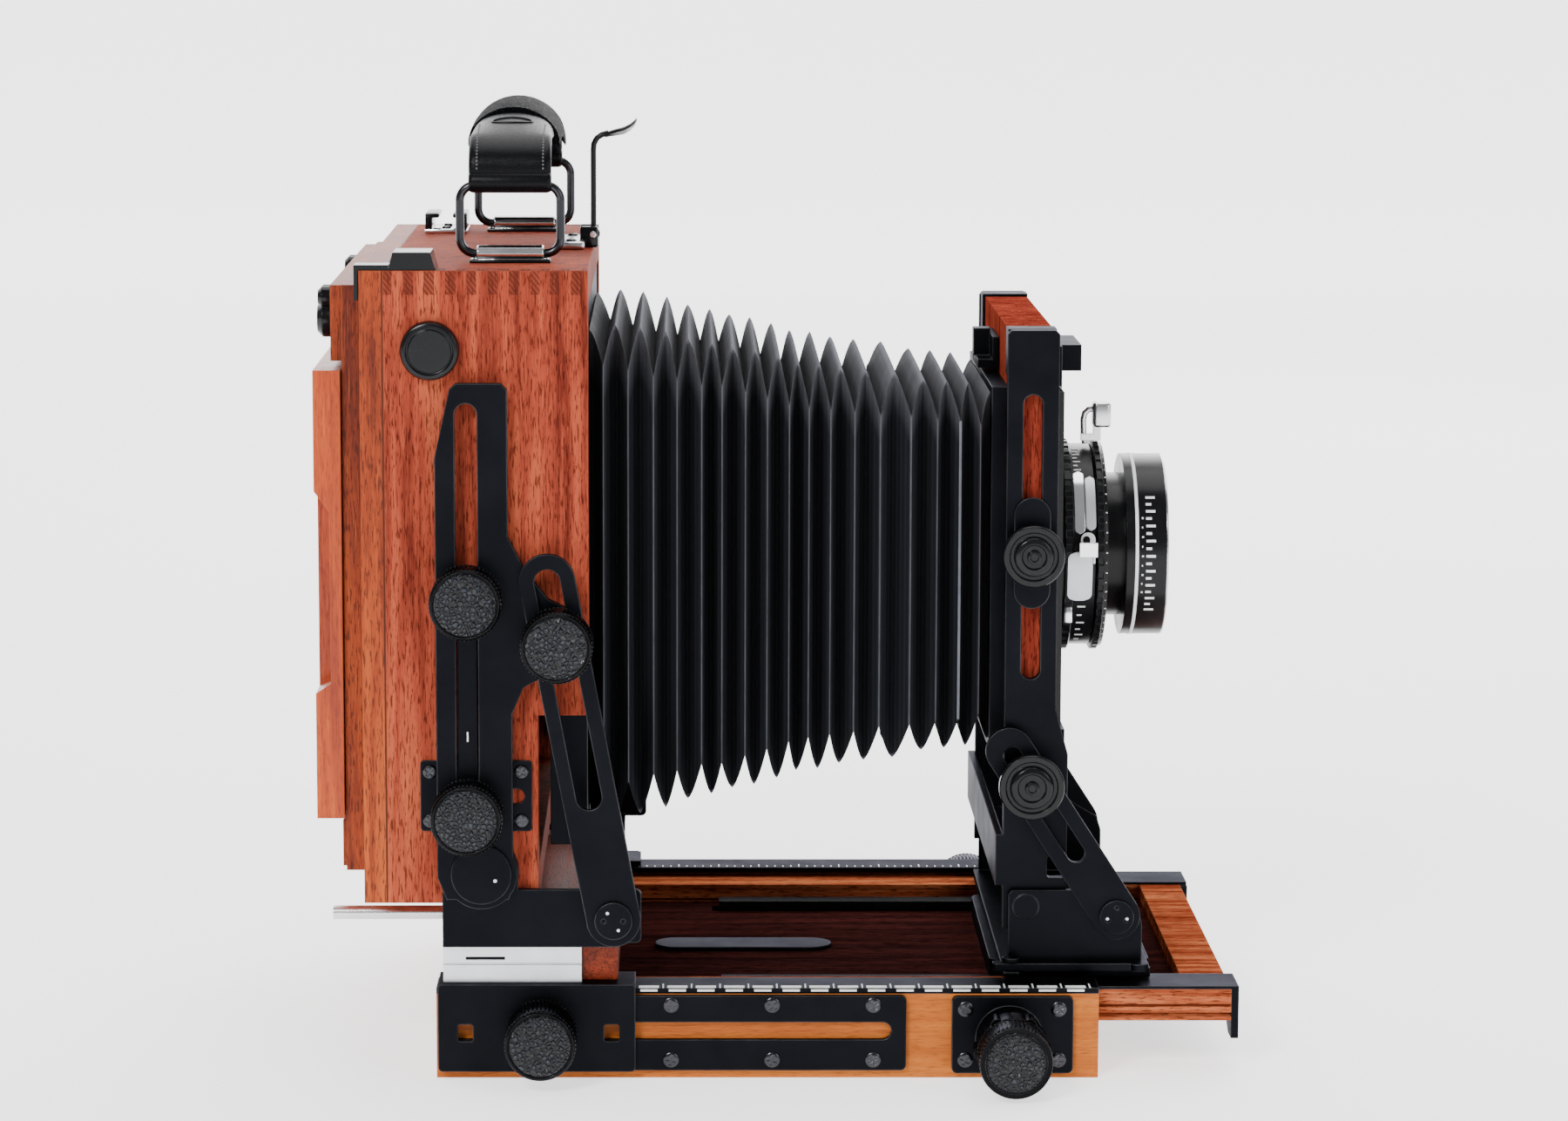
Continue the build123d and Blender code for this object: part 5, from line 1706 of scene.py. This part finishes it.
@dataclass
class LensDressing:
    """Knurling, white dial marks, the bright index plate and a bright rim round the front glass."""

    axis_z: float = 132.8

    def ring(self, section: Sequence[Size]) -> Piece:
        """A ring turned about the lens axis.

        Args:
            section: closed section, (radius, x).

        Returns:
            The ring.
        """
        return turned(section, (0.0, 0.0, self.axis_z), Axis.X, RING_STEPS)

    def build(self) -> None:
        """Makes every piece of lens dressing."""
        self.aperture_ring()
        self.speed_ring()
        self.front_ring()
        self.index_plate()
        self.lever_tip()

    def knurled(self, ring: Piece, radius: float, depth: float) -> None:
        """Cuts grooves in alternate faces of a ring's outside.

        Args:
            ring: the ring.
            radius: the outside radius.
            depth: groove depth.
        """
        take(ring)
        for polygon in ring.data.polygons:
            offset = Vector((polygon.center.y, polygon.center.z - self.axis_z * MM))
            angle = math.atan2(offset.y, offset.x) + math.pi
            outside = offset.length > (radius - 0.1) * MM
            polygon.select = outside and int(angle / (2 * math.pi) * RING_STEPS + 0.01) % 2 == 0
        bpy.ops.object.mode_set(mode="EDIT")
        bpy.ops.mesh.select_mode(type="FACE")
        bpy.ops.mesh.inset(thickness=0.1 * MM, depth=-depth * MM, use_individual=True)
        bpy.ops.object.mode_set(mode="OBJECT")

    def ticks(
        self, radius: float, x0: float, x1: float, count: int, start: float, end: float, wide: float = 0.3
    ) -> Piece:
        """White marks along a ring.

        Args:
            radius: the ring's radius.
            x0: where marks start.
            x1: where the longest ends.
            count: how many.
            start: first angle in degrees from straight up, towards the near side.
            end: last angle.
            wide: width of a mark.

        Returns:
            The joined marks.
        """
        marks = []
        for number in range(count):
            angle = start + (end - start) * number / max(1, count - 1)
            reach = x1 if number % 2 == 0 else x0 + (x1 - x0) * 0.6
            mark = slab((x0, -wide / 2, radius - 0.05), (reach, wide / 2, radius + 0.09))
            turn = Matrix.Translation((0, 0, self.axis_z * MM)) @ Matrix.Rotation(math.radians(angle), 4, "X")
            marks.append(settle(mark, turn))
        return paint(join(marks), "white_paint")

    def aperture_ring(self) -> None:
        """The knurled aperture ring with its tab."""
        section = [
            (28.3, 82.4), (29.2, 82.4), (29.6, 82.7), (29.6, 84.7), (29.2, 85.0), (28.3, 85.0), (28.3, 82.4),
        ]
        ring = self.ring(section)
        self.knurled(ring, 29.6, 0.35)
        tab = slab((82.5, -26.6, self.axis_z - 18.5), (84.9, -22.0, self.axis_z - 14.0), 0.4)
        grip = join([paint(ring, "lens_black"), paint(tab, "chrome")])
        mount(grip, "aperture_ring_grip", "aperture_ring", ["aperture_ring"])

    def speed_ring(self) -> None:
        """The shutter-speed ring with fine teeth and white marks."""
        section = [
            (24.1, 91.3), (28.9, 91.3), (29.6, 91.7), (29.6, 93.2), (28.8, 93.5), (28.6, 94.4), (25.2, 94.4),
            (24.1, 94.2), (24.1, 91.3),
        ]
        ring = self.ring(section)
        self.knurled(ring, 29.6, 0.45)
        marks = self.ticks(28.62, 93.55, 94.3, 26, 20, 160)
        grip = join([paint(ring, "lens_black"), marks])
        mount(grip, "speed_ring_grip", "speed_ring", ["speed_ring"])

    def front_ring(self) -> None:
        """White line, grooves and plain dial marks round the front ring."""
        line = self.ring([(25.3, 102.2), (25.48, 102.3), (25.48, 103.1), (25.3, 103.2), (25.3, 102.2)])
        rim = self.ring([
            (24.2, 110.9), (25.42, 110.9), (25.42, 111.4), (24.6, 111.6), (24.2, 111.4), (24.2, 110.9),
        ])
        marks = self.ticks(25.37, 105.2, 107.8, 17, 52, 128, 0.7)
        dots = self.ticks(25.37, 104.0, 104.5, 9, 66, 114, 0.5)
        dressing = join([paint(line, "white_paint"), paint(rim, "bright_steel"), marks, dots])
        mount(dressing, "front_ring_marks", "lens_frame")

    def wrapped(self, radius: float, thick: float, x: Size, turn: Size, finish: str) -> Piece:
        """A plate with rounded ends, wrapped round the lens axis.

        Args:
            radius: radius of its inner face.
            thick: its thickness.
            x: where it starts and ends along the axis.
            turn: first and last angle in degrees from straight up, towards the near side.
            finish: a key of FINISHES.

        Returns:
            The plate.
        """
        points = []
        steps = 24
        half = (x[1] - x[0]) / 2
        middle = (x[0] + x[1]) / 2
        for step in range(steps + 1):
            share = step / steps
            angle = math.radians(turn[0] + (turn[1] - turn[0]) * share)
            from_end = min(share, 1 - share) * math.radians(turn[1] - turn[0]) * radius
            corner = min(half, 2.2)
            inset = corner - math.sqrt(max(0.0, corner ** 2 - max(0.0, corner - from_end) ** 2))
            for r, along in (
                (radius, middle - half + inset), (radius + thick, middle - half + inset),
                (radius + thick, middle + half - inset), (radius, middle + half - inset),
            ):
                y, z = -r * math.sin(angle), self.axis_z + r * math.cos(angle)
                points.append((along * MM, y * MM, z * MM))
        return paint(skinned("plate", points, 4), finish)

    def index_plate(self) -> None:
        """The bright index bands, a white pointer and a blank rounded plate on the shutter's near side."""
        parts = [
            self.wrapped(28.1, 0.7, (85.2, 88.1), (38, 77), "chrome"),
            self.wrapped(28.1, 0.8, (88.3, 91.1), (42, 75), "silver_block"),
            self.wrapped(28.9, 0.55, (86.8, 90.8), (76, 85), "white_paint"),
            self.wrapped(29.45, 0.15, (87.4, 89.3), (78, 83), "black_gloss"),
            self.wrapped(28.9, 0.5, (90.2, 90.8), (84, 93), "white_paint"),
            self.wrapped(29.68, 0.6, (83.2, 90.0), (86.5, 113.4), "label_silver"),
            self.ticks(28.3, 79.0, 80.2, 26, 20, 70, 0.3), self.ticks(28.3, 85.6, 87.6, 7, 14, 36, 0.45),
            self.ticks(28.3, 79.4, 80.6, 10, 126, 158, 0.35), self.ticks(28.3, 86.4, 88.6, 6, 120, 152, 0.45),
        ]
        mount(join(parts), "shutter_index_plate", "lens_frame")

    def lever_tip(self) -> None:
        """A pad with rounded edges on a bent arm, at the end of the cocking lever."""
        pad = slab((91.6, -7.6, self.axis_z + 33.6), (96.7, -1.4, self.axis_z + 40.6), 1.0, 3)
        z = self.axis_z
        arm = tube(
            ((93.0, -4.5, z + 38.7), (90.6, -4.5, z + 38.4), (89.5, -4.5, z + 37.4), (89.1, -4.5, z + 35.6),
             (89.2, -4.5, z + 32.4), (89.6, -4.5, z + 28.9)), 0.85, 12,
        )
        mount(paint(join([pad, arm]), "bright_steel"), "cocking_lever_pad", "cocking_lever")


# ---- Studio -----------------------------------------------------------------------------------------------


@dataclass
class Studio:
    """A pale sweep, soft lights and the camera."""

    eye: Point = (-0.0226, -1.2806, 0.3161)
    pitch: float = 8.36
    lens: float = 105.6
    shift: float = 0.0644
    lamps: tuple[tuple[str, Point, float, float], ...] = (
        ("key", (-0.75, -1.5, 1.25), 0.55, 30.0),
        ("fill", (1.25, -1.25, 0.75), 0.8, 10.0),
        ("top", (0.05, 0.25, 1.6), 1.0, 13.0),
        ("rim", (0.6, 1.35, 0.9), 1.0, 9.0),
    )
    aim: Point = (0.0, 0.0, 0.11)

    def build(self) -> None:
        """Sets the floor, the lights and the camera."""
        self.sweep()
        for name, place, size, power in self.lamps:
            self.lamp(name, place, size, power)
        world = bpy.data.worlds.new("studio")
        world.use_nodes = True
        sky = world.node_tree.nodes["Background"]
        sky.inputs["Color"].default_value = (0.93, 0.94, 0.95, 1.0)
        sky.inputs["Strength"].default_value = 0.34
        bpy.context.scene.world = world
        data = bpy.data.cameras.new("camera")
        data.lens = self.lens
        data.sensor_width = 36.0
        data.shift_x = self.shift
        data.clip_end = 30.0
        camera = bpy.data.objects.new("camera", data)
        camera.location = self.eye
        camera.rotation_euler = (math.radians(90 - self.pitch), 0.0, 0.0)
        bpy.context.scene.collection.objects.link(camera)
        bpy.context.scene.camera = camera

    def lamp(self, name: str, place: Point, size: float, power: float) -> None:
        """One soft square light aimed at the camera on the floor.

        Args:
            name: its name.
            place: where it hangs.
            size: its side.
            power: its power in watts.
        """
        data = bpy.data.lights.new(name, "AREA")
        data.size = size
        data.energy = power
        lamp = bpy.data.objects.new(name, data)
        lamp.location = place
        lamp.rotation_euler = (Vector(self.aim) - Vector(place)).to_track_quat("-Z", "Y").to_euler()
        bpy.context.scene.collection.objects.link(lamp)

    def sweep(self) -> None:
        """A pale floor that curves up into a wall."""
        profile = [(-9.0, 0.0), (2.6, 0.0)]
        for step in range(1, 13):
            angle = math.pi / 2 * step / 12
            profile.append((2.6 + 1.2 * math.sin(angle), 1.2 - 1.2 * math.cos(angle)))
        profile.append((3.8, 6.0))
        points = [(x, y, z) for y, z in profile for x in (-9.0, 9.0)]
        faces = [(2 * i, 2 * i + 1, 2 * i + 3, 2 * i + 2) for i in range(len(profile) - 1)]
        mesh = bpy.data.meshes.new("sweep")
        mesh.from_pydata(points, [], faces)
        floor = bpy.data.objects.new("sweep", mesh)
        bpy.context.scene.collection.objects.link(floor)
        bench = Bench("studio_paper")
        cloud = bench.noise(bench.object_coords, 3.0, 2.0)
        tint = bench.mix(bench.span(cloud, 0.3, 0.7), (0.89, 0.89, 0.89), (0.91, 0.91, 0.91))
        glow = bench.span(bench.axis_value("Y"), -0.2, 2.6, 1.35, 2.3)
        floor.data.materials.append(
            bench.set(Base_Color=tint, Roughness=0.95, Emission_Color=(1.0, 1.0, 1.0), Emission_Strength=glow)
        )
        take(floor)
        bpy.ops.object.shade_smooth()


# ---- Assembly ---------------------------------------------------------------------------------------------


def main() -> None:
    """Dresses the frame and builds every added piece."""
    logging.basicConfig(level=logging.INFO, format="%(name)s %(message)s")
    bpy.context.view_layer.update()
    MachinedFrame().dress()
    for knob in KNOBS:
        knob.build()
    Bellows().build()
    CarryingStrap().build()
    BASE_SCREWS.build()
    BodyTrim().build()
    Markings().build()
    LensDressing().build()
    Studio().build()
    deselect()


if __name__ == "__main__":
    main()
